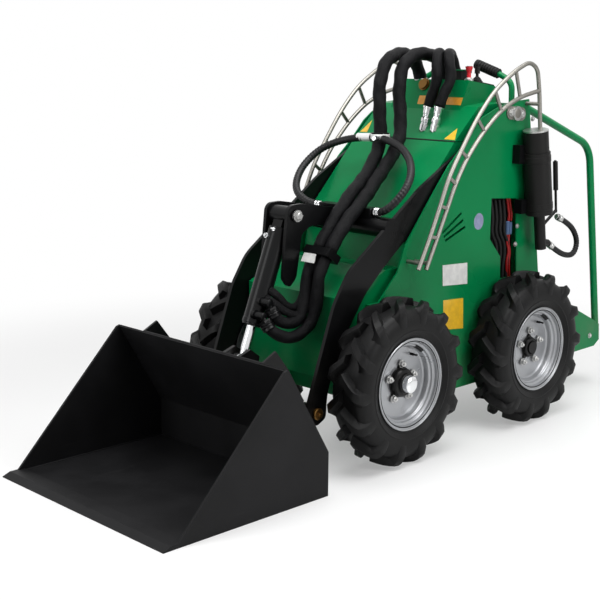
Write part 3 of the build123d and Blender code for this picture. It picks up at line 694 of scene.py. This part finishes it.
def hose_piece(name, meshes, finish, body, *stands_for):
    """Hose tubes as one piece; their own faces already point outwards and keep their wrap map."""
    mesh = merged(name, meshes)
    mesh.materials.append(finish.material)
    for polygon in mesh.polygons:
        polygon.use_smooth = len(polygon.vertices) == 4
    made = placed(name, mesh, body)
    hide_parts(*stands_for)
    return made


def clamp_point(along, row_y):
    """Point past the clamp's middle, along the way that the hoses lie there."""
    return at(118 + along * 0.6, row_y, 630 - along * 0.8)


loop_diameter = 0.046
drop_diameter = 0.037
ring_diameter = 0.025
tail_diameter = 0.038
return_diameter = 0.026
loop_left = [at(-536, -72, 1112), at(-530, -74, 1158), at(-500, -68, 1196), at(-452, -54, 1219), at(-394, -38, 1224),
             at(-336, -26, 1219), at(-288, -16, 1194), at(-258, -10, 1144), at(-246, -2, 1078), at(-249, 3, 1005),
             at(-249, 3, 944), at(-218, 18, 908), at(-140, 44, 842), at(-41, 72, 798), clamp_point(-103, 84),
             clamp_point(-13, 84)]
loop_right = [at(-568, 20, 1112), at(-562, 16, 1158), at(-538, 10, 1196), at(-494, 10, 1219), at(-436, 12, 1226),
              at(-378, 12, 1215), at(-334, 16, 1182), at(-314, 22, 1126), at(-312, 28, 1058), at(-306, 42, 986),
              at(-268, 58, 928), at(-206, 72, 878), at(-136, 88, 830), at(-60, 112, 782), clamp_point(-103, 132),
              clamp_point(-13, 132)]
left_sleeve = hose_piece("sleeved_hose_left", [hose_mesh(loop_left, loop_diameter, pucker=0.08)], sleeve_cloth,
                         None, "hose_loop_left")
at(-530, -74, 1158)
at(-249, 3, 1000)
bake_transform(left_sleeve)
right_sleeve = hose_piece("sleeved_hose_right", [hose_mesh(loop_right, loop_diameter, pucker=0.08)], sleeve_cloth,
                          None, "hose_loop_right")
at(-562, 24, 1158)
at(-306, 42, 986)
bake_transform(right_sleeve)

drop_left = [at(-580, 66, 1112), at(-566, 60, 1152), at(-542, 60, 1196), at(-502, 78, 1228), at(-462, 100, 1222),
             at(-446, 122, 1190), at(-444, 132, 1146), at(-424, 120, 1100), at(-413, 109, 1056)]
drop_right = [at(-532, 40, 1112), at(-530, 38, 1154), at(-512, 44, 1196), at(-480, 54, 1226), at(-448, 68, 1226),
              at(-422, 86, 1196), at(-416, 97, 1148), at(-420, 76, 1100), at(-413, 64, 1056)]
hose_piece("coupler_hoses", [hose_mesh(route, drop_diameter, pucker=0.06) for route in (drop_left, drop_right)],
           sleeve_cloth, "machine", "hose_drop")

ring_left = [at(-247, -24, 957), at(-243, -93, 954), at(-221, -172, 935), at(-190, -219, 907), at(-135, -235, 859),
             at(-84, -215, 814), at(-52, -180, 783), at(-42, -136, 762), at(-48, -98, 750), at(-55, -58, 748)]
ring_right = [at(-234, 28, 956), at(-225, 100, 944), at(-192, 176, 910), at(-147, 228, 869), at(-101, 249, 827),
              at(-66, 240, 788), at(-48, 218, 762), at(-50, 190, 750), at(-55, 158, 748)]
hose_rubber = moulded("hose_rubber", (0.006, 0.006, 0.0065), 0.36, 1100.0, 0.1)
hose_piece("arm_ring_hoses", [hose_mesh(route, ring_diameter, steps=20, ridge=0.0016, pitch=0.011)
                             for route in (ring_left, ring_right)], hose_rubber, "lift_arms", "hose_ring")

tail_left = [clamp_point(13, 84), clamp_point(60, 84), at(166, 88, 532), at(178, 96, 478), at(204, 96, 436),
             at(244, 84, 428), at(274, 66, 452), at(282, 58, 476)]
tail_right = [clamp_point(13, 132), clamp_point(60, 132), at(158, 132, 524), at(160, 128, 466), at(184, 116, 414),
              at(228, 104, 388), at(272, 90, 396), at(300, 72, 420), at(306, 60, 440)]
tails = hose_piece("cylinder_hoses", [hose_mesh(route, tail_diameter, pucker=0.05)
                                      for route in (tail_left, tail_right)], sleeve_cloth, None, "hose_tails")
clamp_point(40, 108)
at(290, 60, 445)
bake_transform(tails)

return_routes = ([clamp_point(13, 66), at(150, 68, 560), at(160, 72, 505), at(188, 72, 468), at(226, 64, 478),
                  at(248, 52, 512), at(258, 28, 528)],
                 [clamp_point(13, 108), at(140, 110, 570), at(150, 110, 520), at(170, 104, 470), at(206, 92, 448),
                  at(244, 74, 466), at(266, 52, 494), at(272, 28, 504)])
return_hoses = hose_piece("return_hoses", [hose_mesh(route, return_diameter, pucker=0.04) for route in return_routes],
                          sleeve_cloth, None)
clamp_point(40, 100)
at(250, 60, 500)
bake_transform(return_hoses)

gun_diameter = 0.02
gun_holder_low, gun_holder_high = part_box("gun_holder")
gun_y = (gun_holder_low.y + gun_holder_high.y) / 2 * 1000
gun_route = [at(x, gun_y, z) for x, z in ((-846.5, 678), (-903, 656), (-957, 622), (-985, 575), (-965, 533),
                                          (-915, 534), (-858, 556), (-800.5, 590))]
hose_piece("grease_gun_hose", [hose_mesh(gun_route, gun_diameter, steps=24, ridge=0.0018, pitch=0.009)], hose_rubber,
           "machine", "grease_hose")


# ------------------------------------------------------------------ hose fittings
# Crimped steel ferrules at the hose feet, quick couplers on the drop hoses, elbows on the barrel,
# and the bright band and bar that tie the ring to the sleeves.
def turned(sections, foot, along, sides=32):
    """Mesh of (distance, radius) sections turned about the line through foot."""
    along = Vector(along).normalized()
    first = along.orthogonal().normalized()
    second = along.cross(first)
    vertices = []
    for distance, radius in sections:
        vertices += [foot + along * distance + (first * math.cos(turn) + second * math.sin(turn)) * radius
                     for turn in (2 * math.pi * i / sides for i in range(sides))]
    return plain_mesh(vertices, skin(len(sections), sides))


def ferrule(foot, towards, hose_radius, length=0.03):
    """Crimped ferrule with a hexagon nut at its foot."""
    way = (towards - foot).normalized()
    sleeve = turned([(0.006, hose_radius * 0.8), (0.007, hose_radius + 0.0025), (0.012, hose_radius + 0.003),
                     (0.0135, hose_radius + 0.0012), (0.016, hose_radius + 0.003), (0.02, hose_radius + 0.003),
                     (0.0215, hose_radius + 0.0012), (length - 0.002, hose_radius + 0.003),
                     (length, hose_radius + 0.001)], foot, way)
    nut = turned([(-0.002, hose_radius * 0.94), (-0.001, hose_radius * 1.06), (0.0075, hose_radius * 1.06),
                  (0.0085, hose_radius * 0.94)], foot, way, 6)
    return [sleeve, nut]


console_hose_radius, arm_hose_radius, port_hose_radius, gun_hose_radius = 0.021, 0.0105, 0.0185, 0.009
console_ferrules = (ferrule(loop_left[0], loop_left[1], console_hose_radius)
                    + ferrule(loop_right[0], loop_right[1], console_hose_radius))
arm_ferrules = (ferrule(ring_left[-1], ring_left[-2], arm_hose_radius)
                + ferrule(ring_right[-1], ring_right[-2], arm_hose_radius))
band = lathe([(0.0293, 0.0), (0.0308, 0.0), (0.0315, 0.001), (0.0315, 0.015), (0.0308, 0.016), (0.0293, 0.016)], 48)
band_points = [Vector((v.x, v.z, v.y)) + at(-249, 3, 953) for v in band[0]]
tie_bar = turned([(0.0, 0.0126), (0.001, 0.0136), (0.055, 0.0136), (0.056, 0.0126)], at(-246.5, -33, 956.8),
                 ring_left[1] - ring_left[0])
arm_ferrules.append(turned([(0.0, 0.008), (0.03, 0.008), (0.032, 0.006)], at(-217, 22, 958), (1, 0.3, 0), 6))
aluminium = steel("bright_aluminium", (0.86, 0.86, 0.85), 0.34, 70.0)
aluminium.shader.inputs["Metallic"].default_value = 0.45
joined("ring_ties", [plain_mesh(band_points, band[1]), tie_bar], aluminium, "lift_arms")
joined("console_ferrules", console_ferrules, zinc, "machine")
joined("arm_ferrules", arm_ferrules, chrome, "lift_arms")

coupler_profile = [(0.0, 0.008), (0.002, 0.0095), (0.004, 0.0095), (0.006, 0.0145), (0.024, 0.015), (0.026, 0.0128),
                   (0.032, 0.0128), (0.034, 0.015), (0.046, 0.015), (0.048, 0.0115), (0.06, 0.0115), (0.062, 0.0135),
                   (0.078, 0.0135), (0.079, 0.0165), (0.085, 0.0165)]
coupler_way = Vector((-0.106, 0.14, 0.984)).normalized()
coupler_feet = [at(-404, row, 972) for row in (52, 97)]
couplers = [turned(coupler_profile, foot, coupler_way) for foot in coupler_feet]
couplers += [turned([(0.0, 0.0135), (0.012, 0.0135), (0.013, 0.0118)], foot + coupler_way * 0.038, coupler_way, 6)
             for foot in coupler_feet]
quick_couplers = joined("quick_couplers", couplers, chrome, "machine")
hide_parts("coupler")

elbow_reach = 0.022
port_elbows = []
for tail in (tail_left, tail_right):
    way = (tail[-1] - tail[-2]).normalized()
    port_elbows += ferrule(tail[-1] + way * 0.004, tail[-2], port_hose_radius)
    port_elbows.append(turned([(-0.004, 0.0095), (elbow_reach, 0.0095)], tail[-1], way))
    port_elbows.append(turned([(-0.013, 0.0105), (-0.012, 0.0125), (0.01, 0.0125), (0.011, 0.0105), (0.022, 0.0105),
                               (0.0225, 0.0145), (0.034, 0.0145)], tail[-1] + way * elbow_reach, (0, -1, 0)))
joined("barrel_ports", port_elbows, gloss_black, "tilt_barrel_body")

cylinder_top, barrel_length = at(176, 0, 746), 0.329
cylinder_line = (at(347, 0, 314) - cylinder_top).normalized()
gland = turned([(0.0, 0.0325), (0.001, 0.0335), (0.014, 0.0335), (0.016, 0.031), (0.02, 0.031), (0.022, 0.024),
                (0.0225, 0.0165)], cylinder_top + cylinder_line * barrel_length, cylinder_line, 48)
joined("barrel_gland", [gland], gloss_black, "tilt_barrel_body")
nipple = turned([(0.0, 0.006), (0.004, 0.006), (0.0045, 0.0035), (0.009, 0.0032), (0.012, 0.0042), (0.015, 0.003)],
                at(224, 10, 705), (0.93, 0.1, 0.37), 16)
bleed = turned([(0.0, 0.009), (0.008, 0.009), (0.0085, 0.006), (0.014, 0.006)], at(233, -8, 684),
               (0.93, -0.1, 0.37), 6)
joined("barrel_nipples", [nipple, bleed], chrome, "tilt_barrel_body")


# ------------------------------------------------------------------ bolts
# Zinc-plated hexagon bolts over washers, in groups on the plates, lugs, rails and pins.
bolt_tree = GeometryTree("bolts_on_points", size="NodeSocketFloat", turn="NodeSocketVector")


def scaled_size(factor):
    """The bolt's size times a factor, as a tree value."""
    return bolt_tree.math("MULTIPLY", bolt_tree.given["size"], factor)


def bolt_part(kind, low, high, vertices, radii):
    """One turned part of the bolt between two heights."""
    values = {"Vertices": vertices, "Depth": scaled_size(high - low)}
    values.update({key: scaled_size(share) for key, share in radii.items()})
    shape = bolt_tree.add(kind, values)
    middle = (low + high) / 2 if kind == "GeometryNodeMeshCylinder" else low
    lift = bolt_tree.add("ShaderNodeCombineXYZ", {"Z": scaled_size(middle)})
    return bolt_tree.add("GeometryNodeTransform", {"Geometry": shape, "Translation": lift})


bolt_whole = bolt_tree.tree.nodes.new("GeometryNodeJoinGeometry")
for bolt_piece in (bolt_part("GeometryNodeMeshCylinder", -0.15, 0.26, 28, {"Radius": 1.42}),
                   bolt_part("GeometryNodeMeshCylinder", 0.22, 0.86, 6, {"Radius": 1.08}),
                   bolt_part("GeometryNodeMeshCone", 0.84, 1.0, 18, {"Radius Top": 0.72, "Radius Bottom": 0.92})):
    bolt_tree.tree.links.new(bolt_piece, bolt_whole.inputs[0])
bolt_tree.end(bolt_tree.add("GeometryNodeInstanceOnPoints",
                            {"Points": bolt_tree.given["Geometry"], "Instance": bolt_whole.outputs[0],
                             "Rotation": bolt_tree.given["turn"]}))
faces_left, faces_right = (-math.pi / 2, 0.0, 0.0), (math.pi / 2, 0.0, 0.0)
side_plate_out, platform_out, keeper_out = 242.0, 237.0, 245.5
bolt_groups = ((side_plate_out, 0.006, ((-683, 655), (-676, 594), (-74, 232), (-88, 256), (-780, 300), (-780, 452),
                                        (-745, 1012), (-130, 470))),
               (platform_out, 0.007, ((-860, 380), (-860, 190), (-1180, 195))),
               (keeper_out, 0.009, ((-618, 1036), (-678, 1030))))
side_bolts = [bolt_tree.run([at(x, side * out, z) for x, z in group], [], size=size, turn=turn)
              for side, turn in ((1, faces_left), (-1, faces_right)) for out, size, group in bolt_groups]
joined("plate_bolts", side_bolts, zinc, "machine")
lug_bolts = [bolt_tree.run([at(176, y, 746)], [], size=0.0125, turn=turn)
             for y, turn in ((60, faces_left), (-60, faces_right))]
joined("lug_nuts", lug_bolts, zinc, "lift_arms")

keeper_radius, keeper_z = 22, 1033
keeper_outline = []
for end, lift, start_turn in ((-678, -3, math.pi / 2), (-618, 3, -math.pi / 2)):
    for step in range(13):
        turn = start_turn + math.pi * step / 12
        keeper_outline.append((end + keeper_radius * math.cos(turn), keeper_z + lift + keeper_radius * math.sin(turn)))
keepers = []
for side in (1, -1):
    ring = [at(x, side * y, z) for y in (side_plate_out - 1, keeper_out + 0.5) for x, z in keeper_outline]
    keepers.append(plain_mesh(ring, skin(2, len(keeper_outline))))
    keepers.append(turned([(0.0, 0.0165), (0.006, 0.0165), (0.008, 0.014), (0.0085, 0.006)],
                          at(-648, side * keeper_out, keeper_z), (0, side, 0), 40))
joined("pivot_keepers", keepers, satin_steel, "machine")


# ------------------------------------------------------------------ arm pin ends
# Brass bushes on the hitch pins, with a grease nipple in each.
arm_out = 230.5
bush_profile = [(0.0, 0.0165), (0.002, 0.018), (0.009, 0.018), (0.011, 0.0155), (0.0112, 0.006), (0.015, 0.006),
                (0.0155, 0.0035), (0.019, 0.003)]
bushes = [turned(bush_profile, at(258, side * arm_out, 187), (0, side, 0), 36) for side in (1, -1)]
joined("hitch_pin_bushes", bushes, brass, "lift_arms")


# ------------------------------------------------------------------ blank plates and stickers
# Printed foil and thin plates, all left blank: one grey-white and one yellow on each side,
# a round decal, yellow triangles on the hood, orange strips on the console's front, a tag on the clamp.
def foil(name, colour, shade):
    """Printed foil under a clear film."""
    finish = Finish(name, coat_roughness=0.08)
    cloud = finish.noise(60.0, 3.0)
    return finish.surface(colour=finish.mix(cloud.spread(0.3, 0.7), colour, shade),
                          roughness=cloud * 0.1 + 0.3, coat=0.4, bump=(cloud, 0.0001))


def sticker(corners, out, proud=0.0006):
    """Thin plate on its corners, standing proud of the face it's stuck to."""
    out = Vector(out).normalized()
    points = [corner + out * height for height in (-0.0004, proud) for corner in corners]
    return plain_mesh(points, skin(2, len(corners)))


foil_white = foil("white_foil", (0.62, 0.62, 0.6), (0.52, 0.52, 0.51))
foil_yellow = foil("yellow_foil", (0.72, 0.43, 0.02), (0.6, 0.35, 0.02))
foil_orange = foil("orange_foil", (0.68, 0.3, 0.03), (0.55, 0.24, 0.02))
foil_blue = foil("blue_foil", (0.25, 0.28, 0.42), (0.18, 0.2, 0.32))
hood_foot, hood_head = at(-369, 0, 951), at(-486, 0, 1057)
console_foot, console_head = at(-470, 0, 1040), at(-512, 0, 1140)
slope_out = (hood_foot - hood_head).cross(Vector((0, 1, 0)))
front_out = (console_foot - console_head).cross(Vector((0, 1, 0)))


def on_side_plate(side, *corners):
    """Points on a side plate's outer face, from the left where side is 1."""
    return [at(x, side * side_plate_out, z) for x, z in corners]


def on_hood(x, y):
    """Point on the hood's front slope."""
    return at(x, y, 951 + (-369 - x) * (1057 - 951) / (486 - 369))


def on_console(y, z):
    """Point on the console's front face."""
    return at(-470 - 42 * (z - 1040) / 100, y, z)


circle = [2 * math.pi * i / 40 for i in range(40)]
round_outline = [(-470 + 25 * math.cos(turn), 690 + 27 * math.sin(turn)) for turn in circle]
white_plates, yellow_plates, round_plates = [], [], []
for side in (1, -1):
    out = (0, side, 0)
    white_plates.append(sticker(on_side_plate(side, (-290, 566), (-416, 560), (-420, 490), (-294, 499)), out, 0.0015))
    yellow_plates.append(sticker(on_side_plate(side, (-300, 451), (-402, 445), (-407, 343), (-305, 354)), out))
    round_plates.append(sticker(on_side_plate(side, *round_outline), out))
for corners in (((-374, 165), (-412, 188), (-374, 209)), ((-380, -175), (-423, -190), (-380, -206))):
    yellow_plates.append(sticker([on_hood(x, y) for x, y in corners], slope_out))
orange_strips = [sticker([on_console(y, z) for y, z in ((82, 1060), (146, 1060), (146, 1084), (82, 1084))], front_out),
                 sticker([on_console(y, z) for y, z in ((-38, 1058), (-4, 1058), (-4, 1086), (-38, 1086))], front_out)]
joined("white_plates", white_plates, foil_white, "machine")
joined("yellow_plates", yellow_plates, foil_yellow, "machine")
joined("orange_strips", orange_strips, foil_orange, "machine")
joined("round_decals", round_plates, foil_blue, "machine")

tag_out = Vector((0.8, 0.0, 0.6))
clamp_face = tag_out.dot(at(118 + 20.8, 0, 630 + 15.6))
tag_corners = [corner + tag_out * (clamp_face - tag_out.dot(corner))
               for corner in (at(166, 66, 609.5), at(148, 63, 633.5), at(148, 113, 633.5), at(166, 122, 609.5))]
joined("hose_clamp_tag", [sticker(tag_corners, tag_out, 0.0012)], foil_white, "lift_arms")


# ------------------------------------------------------------------ side windows
# Black sheet behind each opening in the side plates, painted shade for the dark hollow behind it, with red and black
# battery leads and fuse holders.
shade_sheet_outline = [(-528, 768), (-680, 758), (-702, 462), (-594, 440), (-588, 566), (-528, 632)]
shade_sheet_out = 213.5
lead_diameter, cable_diameter = 0.0085, 0.011
lead_red = moulded("red_lead", (0.22, 0.006, 0.006), 0.34, 700.0, 0.2)
fuse_blue = moulded("fuse_holder", (0.05, 0.085, 0.16), 0.3, 700.0, 0.3)
shade_sheets, red_leads, black_leads, fuses = [], [], [], []
for side in (1, -1):
    # Black sheet: painted shade filling the window's dark hollow.
    shade_sheets.append(sticker([at(x, side * shade_sheet_out, z) for x, z in shade_sheet_outline], (0, side, 0), 0.0015))
    for shift, bulge in ((0, 0), (14, 7)):
        above = ((-648, 221, 752), (-652, 226, 715), (-662, 224, 690), (-660, 222, 672))
        below = ((-652, 222, 628), (-650 + bulge, 226, 600), (-662 + bulge, 228, 570), (-650, 226, 530),
                 (-664, 222, 478))
        red_leads += [hose_mesh([at(x - shift, side * y, z) for x, y, z in route], lead_diameter, 14)
                      for route in (above, below)]
    for start in (-560, -582, -604, -626):
        route = ((0, 221, 748), (-8, 227, 690), (-4, 223, 640), (-40, 226, 590), (-30, 222, 500), (-36, 221, 466))
        black_leads.append(hose_mesh([at(start + x, side * y, z) for x, y, z in route], cable_diameter, 14))
    for x, top, length in ((-654, 672, 0.045), (-669, 668, 0.041)):
        fuses.append(turned([(0.0, 0.006), (0.001, 0.0075), (length - 0.001, 0.0075), (length, 0.006)],
                            at(x, side * 223, top), (0, 0, -1), 24))
joined("window_shade_sheets", shade_sheets, black_plastic, "machine")
joined("battery_leads_red", red_leads, lead_red, "machine")
joined("battery_leads_black", black_leads, black_rubber, "machine")
joined("fuse_holders", fuses, fuse_blue, "machine")


# ------------------------------------------------------------------ control plate and gaiters
# Moulded black plate on the console, with rubber bellows at the foot of each lever, a plated
# collar under the knob, and a valve block with a green lid beside it.
def on_console_top(x, y):
    """Point on the console's sloping top."""
    return at(x, y, 1140 + (x + 512) * 21 / 143)


bellows = [(0.0, 0.024)]
for number in range(4):
    bellows += [(0.003 + 0.005 * number, 0.023 - 0.0035 * number), (0.0055 + 0.005 * number, 0.0185 - 0.003 * number)]
bellows.append((0.024, 0.0055))
bellows_sink = Vector((0.0, 0.0, 0.001))
gaiters = [turned(bellows, on_console_top(x, y) - bellows_sink, (0, 0, 1))
           for x, y in ((-596, 118), (-640, 50), (-640, -20), (-640, -90))]
joined("lever_gaiters", gaiters, black_rubber, "machine")
plate_outline = [(-560, 60), (-560, 147), (-652, 147), (-652, -120), (-606, -120), (-606, 60)]
control_plate = sticker([on_console_top(x, y) for x, y in plate_outline], (-0.145, 0, 0.989), 0.004)
joined("control_plate", [control_plate], black_plastic, "machine")
knob_collar = turned([(0.0, 0.014), (0.001, 0.015), (0.006, 0.015), (0.0075, 0.012), (0.011, 0.0085)],
                     at(-530, 135, 1137), (0, 0, 1))
joined("knob_collar", [knob_collar], zinc, "machine")
valve_outline = ((-514, 80), (-544, 80), (-544, 116), (-514, 116))
lid_outline = ((-511, 78), (-547, 78), (-547, 118), (-511, 118))
valve_block = sticker([at(x, y, 1136) for x, y in valve_outline], (0, 0, 1), 0.034)
joined("valve_block", [valve_block], black_plastic, "machine")
valve_lid = sticker([at(x, y, 1170.2) for x, y in lid_outline], (0, 0, 1), 0.0035)
joined("valve_lid", [valve_lid], green_paint, "machine")


# ------------------------------------------------------------------ hood seam
# Rubber strip in the joint between the front cover and the tank top, pressed in along its length.
seam_section = ((1.5, -2.0), (2.6, -0.6), (0.3, 2.2), (-1.4, 1.4), (-4, -1), (-2, -4))
seam_half_length = 213.2
seam_points = [at(-369 + ahead_mm, y, 951 + up_mm) for y in (-seam_half_length, seam_half_length)
               for ahead_mm, up_mm in seam_section]
seam_strip = plain_mesh(seam_points, skin(2, len(seam_section)))
joined("hood_seam_strip", [seam_strip], black_rubber, "machine")


# ------------------------------------------------------------------ ribbed grips
# Rubber grips with eight raised rings and a closed end on each hand hold.
raised_rings = 8
ring_radius, groove_radius = 0.0172, 0.0146
grips = []
for side in (1, -1):
    foot, tip = at(-685, side * 141, 1158.9), at(-685, side * 43, 1191.3)
    length = (tip - foot).length
    rings = [(0.0, 0.0102), (0.0005, 0.0155), (0.003, ring_radius)]
    for number in range(raised_rings):
        start = 0.008 + number * (length - 0.016) / raised_rings
        rings += [(start, groove_radius), (start + 0.002, groove_radius), (start + 0.0038, ring_radius),
                  (start + 0.0095, ring_radius)]
    rings += [(length - 0.003, 0.0165), (length, 0.012)]
    grips.append(turned(rings, foot, tip - foot, 40))
ribbed_grips = joined("ribbed_grips", grips, black_rubber, "machine")
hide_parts("grips")


# ------------------------------------------------------------------ platform tread
# Raised lozenges in a herringbone grid over the standing platform's floor plate.
floor_low, floor_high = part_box("platform_floor")
tread_tree = GeometryTree("tread_lozenges", length="NodeSocketFloat", rise="NodeSocketFloat")
lozenge = tread_tree.add("GeometryNodeMeshUVSphere", {"Segments": 12, "Rings": 6, "Radius": 1.0})
half_length = tread_tree.given["length"]
half_width = tread_tree.math("MULTIPLY", half_length, 0.3)
lozenge_size = tread_tree.add("ShaderNodeCombineXYZ",
                              {"X": half_length, "Y": half_width, "Z": tread_tree.given["rise"]})
lozenge = tread_tree.add("GeometryNodeTransform", {"Geometry": lozenge, "Scale": lozenge_size})
odd = tread_tree.math("MODULO", tread_tree.add("GeometryNodeInputIndex", {}), 2.0)
swing = tread_tree.math("MULTIPLY_ADD", odd, math.pi / 2, -math.pi / 4)
tread_tree.end(tread_tree.add("GeometryNodeInstanceOnPoints",
                              {"Points": tread_tree.given["Geometry"], "Instance": lozenge,
                               "Rotation": tread_tree.add("ShaderNodeCombineXYZ", {"Z": swing})}))
tread_rows, tread_columns, tread_pitch, tread_height = 15, 17, 0.0265, at(0, 0, 158).z
tread_points = [Vector((floor_low.x + 0.022 + row * tread_pitch, (column - tread_columns // 2) * tread_pitch,
                        tread_height)) for row in range(tread_rows) for column in range(tread_columns)]
tread_points = [p for p in tread_points if at(-1210, 0, 0).x < p.x < floor_high.x - 0.015]
tread = tread_tree.run(tread_points, [], length=0.011, rise=0.0016)
joined("platform_tread", [tread], green_paint, "machine")


# ------------------------------------------------------------------ grease gun trim
# Bright rim and strap rings on the holder, two brackets to the side plate, and ferrules on the gun's hose.
holder_top, holder_foot = at(-700, 288.3, 978), at(-742, 288.3, 697)
holder_way = (holder_foot - holder_top).normalized()
rim = turned([(-0.0015, 0.0395), (-0.0015, 0.0425), (0.003, 0.0425), (0.003, 0.0419)], holder_top, holder_way, 56)
joined("holder_rim", [rim], zinc, "machine")
straps = [turned([(0.0, 0.0455), (0.001, 0.0472), (0.02, 0.0472), (0.021, 0.0455)], holder_top + holder_way * place,
                 holder_way, 56) for place in (0.085, 0.245)]
joined("holder_straps", straps, black_plastic, "machine")
brackets = [sticker(on_side_plate(1, *outline), (0, 1, 0), 0.03)
            for outline in (((-640, 868), (-668, 868), (-664, 930), (-640, 930)),
                            ((-662, 700), (-694, 700), (-692, 748), (-662, 748)))]
joined("holder_brackets", brackets, gloss_black, "machine")
gun_ferrules = (ferrule(gun_route[0], gun_route[1], gun_hose_radius)
                + ferrule(gun_route[-1], gun_route[-2], gun_hose_radius))
joined("gun_ferrules", gun_ferrules, zinc, "machine")


# ------------------------------------------------------------------ bucket trim
# Folded lip along the top of the back, and weld beads where back, knee, cheeks and cutting edge meet.
cheek_inside = 0.380 - 0.008
lip_corner = at(518, 0, 394)
lip_way = (lip_corner - at(359, 0, 130)).normalized()
lip_out = Vector((lip_way.z, 0.0, -lip_way.x))
lip_section = [(0.0, 0.0), (0.0, 0.0045), (-0.0015, 0.006), (-0.0205, 0.006), (-0.022, 0.0045), (-0.022, 0.0)]
lip_points = [lip_corner + lip_way * along + lip_out * (away - 0.0002) + Vector((0.0, y, 0.0))
              for y in (-cheek_inside, cheek_inside) for along, away in lip_section]
bucket_lip = plain_mesh(lip_points, skin(2, len(lip_section)))
joined("bucket_lip", [bucket_lip], bucket_paint, "bucket_tool")


def bead(start, end, radius=0.0032):
    """Weld bead with a ripple every three millimetres."""
    length = (end - start).length
    steps = int(length / 0.0015)
    sections = [(length * i / steps, radius * (0.86 if i % 2 else 1.0)) for i in range(steps + 1)]
    return turned(sections, start, end - start, 8)


beads = [bead(at(874, -370, 6.5), at(874, 370, 6.5), 0.0026)]
for side in (1, -1):
    inner = side * cheek_inside * 1000
    beads += [bead(at(x0, inner, z0), at(x1, inner, z1))
              for x0, z0, x1, z1 in ((362, 8, 362, 130), (363, 131, 519, 389), (366, 6.5, 872, 6.5))]
joined("bucket_welds", beads, bucket_paint, "bucket_tool")


# ------------------------------------------------------------------ studio
# A pale floor under a big soft box, with a smaller soft box to the left and one ahead. The sky is
# dim to light by, and white to the camera, to glass and to metal.
floor_finish = Finish("studio_floor", specular_ior_level=0.35)
floor_cloud = floor_finish.noise(1.5, 2.0)
floor_finish.surface(colour=floor_finish.mix(floor_cloud, (0.9, 0.9, 0.9), (0.93, 0.93, 0.93)),
                     roughness=floor_cloud * 0.05 + 0.22)
far = floor_finish.node("ShaderNodeVectorMath", {"operation": "LENGTH"}, {0: floor_finish.place}, "Value")
seen = floor_finish.node("ShaderNodeLightPath", output="Is Camera Ray")
glow = floor_finish.node("ShaderNodeEmission", None, {"Color": (1, 1, 1, 1), "Strength": 1.0})
blended = floor_finish.node("ShaderNodeMixShader", None,
                            {0: far.spread(1.1, 2.6, 0.35, 1.0) * seen,
                             1: Value(floor_finish, floor_finish.shader.outputs[0]), 2: glow})
floor_finish.tree.links.new(blended.socket, floor_finish.tree.nodes["Material Output"].inputs["Surface"])
floor_mesh = bpy.data.meshes.new("floor")
floor_mesh.from_pydata([(-30, -30, 0), (30, -30, 0), (30, 30, 0), (-30, 30, 0)], [], [(0, 1, 2, 3)])
floor_mesh.materials.append(floor_finish.material)
floor = bpy.data.objects.new("floor", floor_mesh)
scene.collection.objects.link(floor)
floor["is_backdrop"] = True

scene.world = bpy.data.worlds.new("studio")
scene.world.use_nodes = True
sky = scene.world.node_tree
ray = sky.nodes.new("ShaderNodeLightPath")
sees_backdrop = ray.outputs["Is Camera Ray"]
for kind in ("Is Transmission Ray", "Is Glossy Ray"):
    either = sky.nodes.new("ShaderNodeMath")
    either.operation = "MAXIMUM"
    sky.links.new(sees_backdrop, either.inputs[0])
    sky.links.new(ray.outputs[kind], either.inputs[1])
    sees_backdrop = either.outputs[0]
strength = sky.nodes.new("ShaderNodeMix")
strength.inputs["A"].default_value = 0.09
strength.inputs["B"].default_value = 1.0
sky.links.new(sees_backdrop, strength.inputs["Factor"])
sky.links.new(strength.outputs["Result"], sky.nodes["Background"].inputs["Strength"])
sky.nodes["Background"].inputs["Color"].default_value = (1, 1, 1, 1)


def soft_box(name, place, aim, width, height, watts):
    """Rectangular lamp at a place, facing its aim."""
    lamp = bpy.data.objects.new(name, bpy.data.lights.new(name, "AREA"))
    lamp.data.shape = "RECTANGLE"
    lamp.data.size = width
    lamp.data.size_y = height
    lamp.data.energy = watts
    lamp.location = place
    lamp.rotation_euler = (Vector(aim) - Vector(place)).to_track_quat("-Z", "Y").to_euler()
    scene.collection.objects.link(lamp)


machine_middle = (0.0, 0.0, 0.5)
soft_box("overhead_box", (0.2, 0.6, 3.2), machine_middle, 2.6, 2.6, 120)
soft_box("left_box", (-0.8, 3.4, 1.9), machine_middle, 1.6, 2.2, 54)
soft_box("front_box", (3.6, -0.6, 1.7), machine_middle, 1.4, 2.0, 40)

low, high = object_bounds()
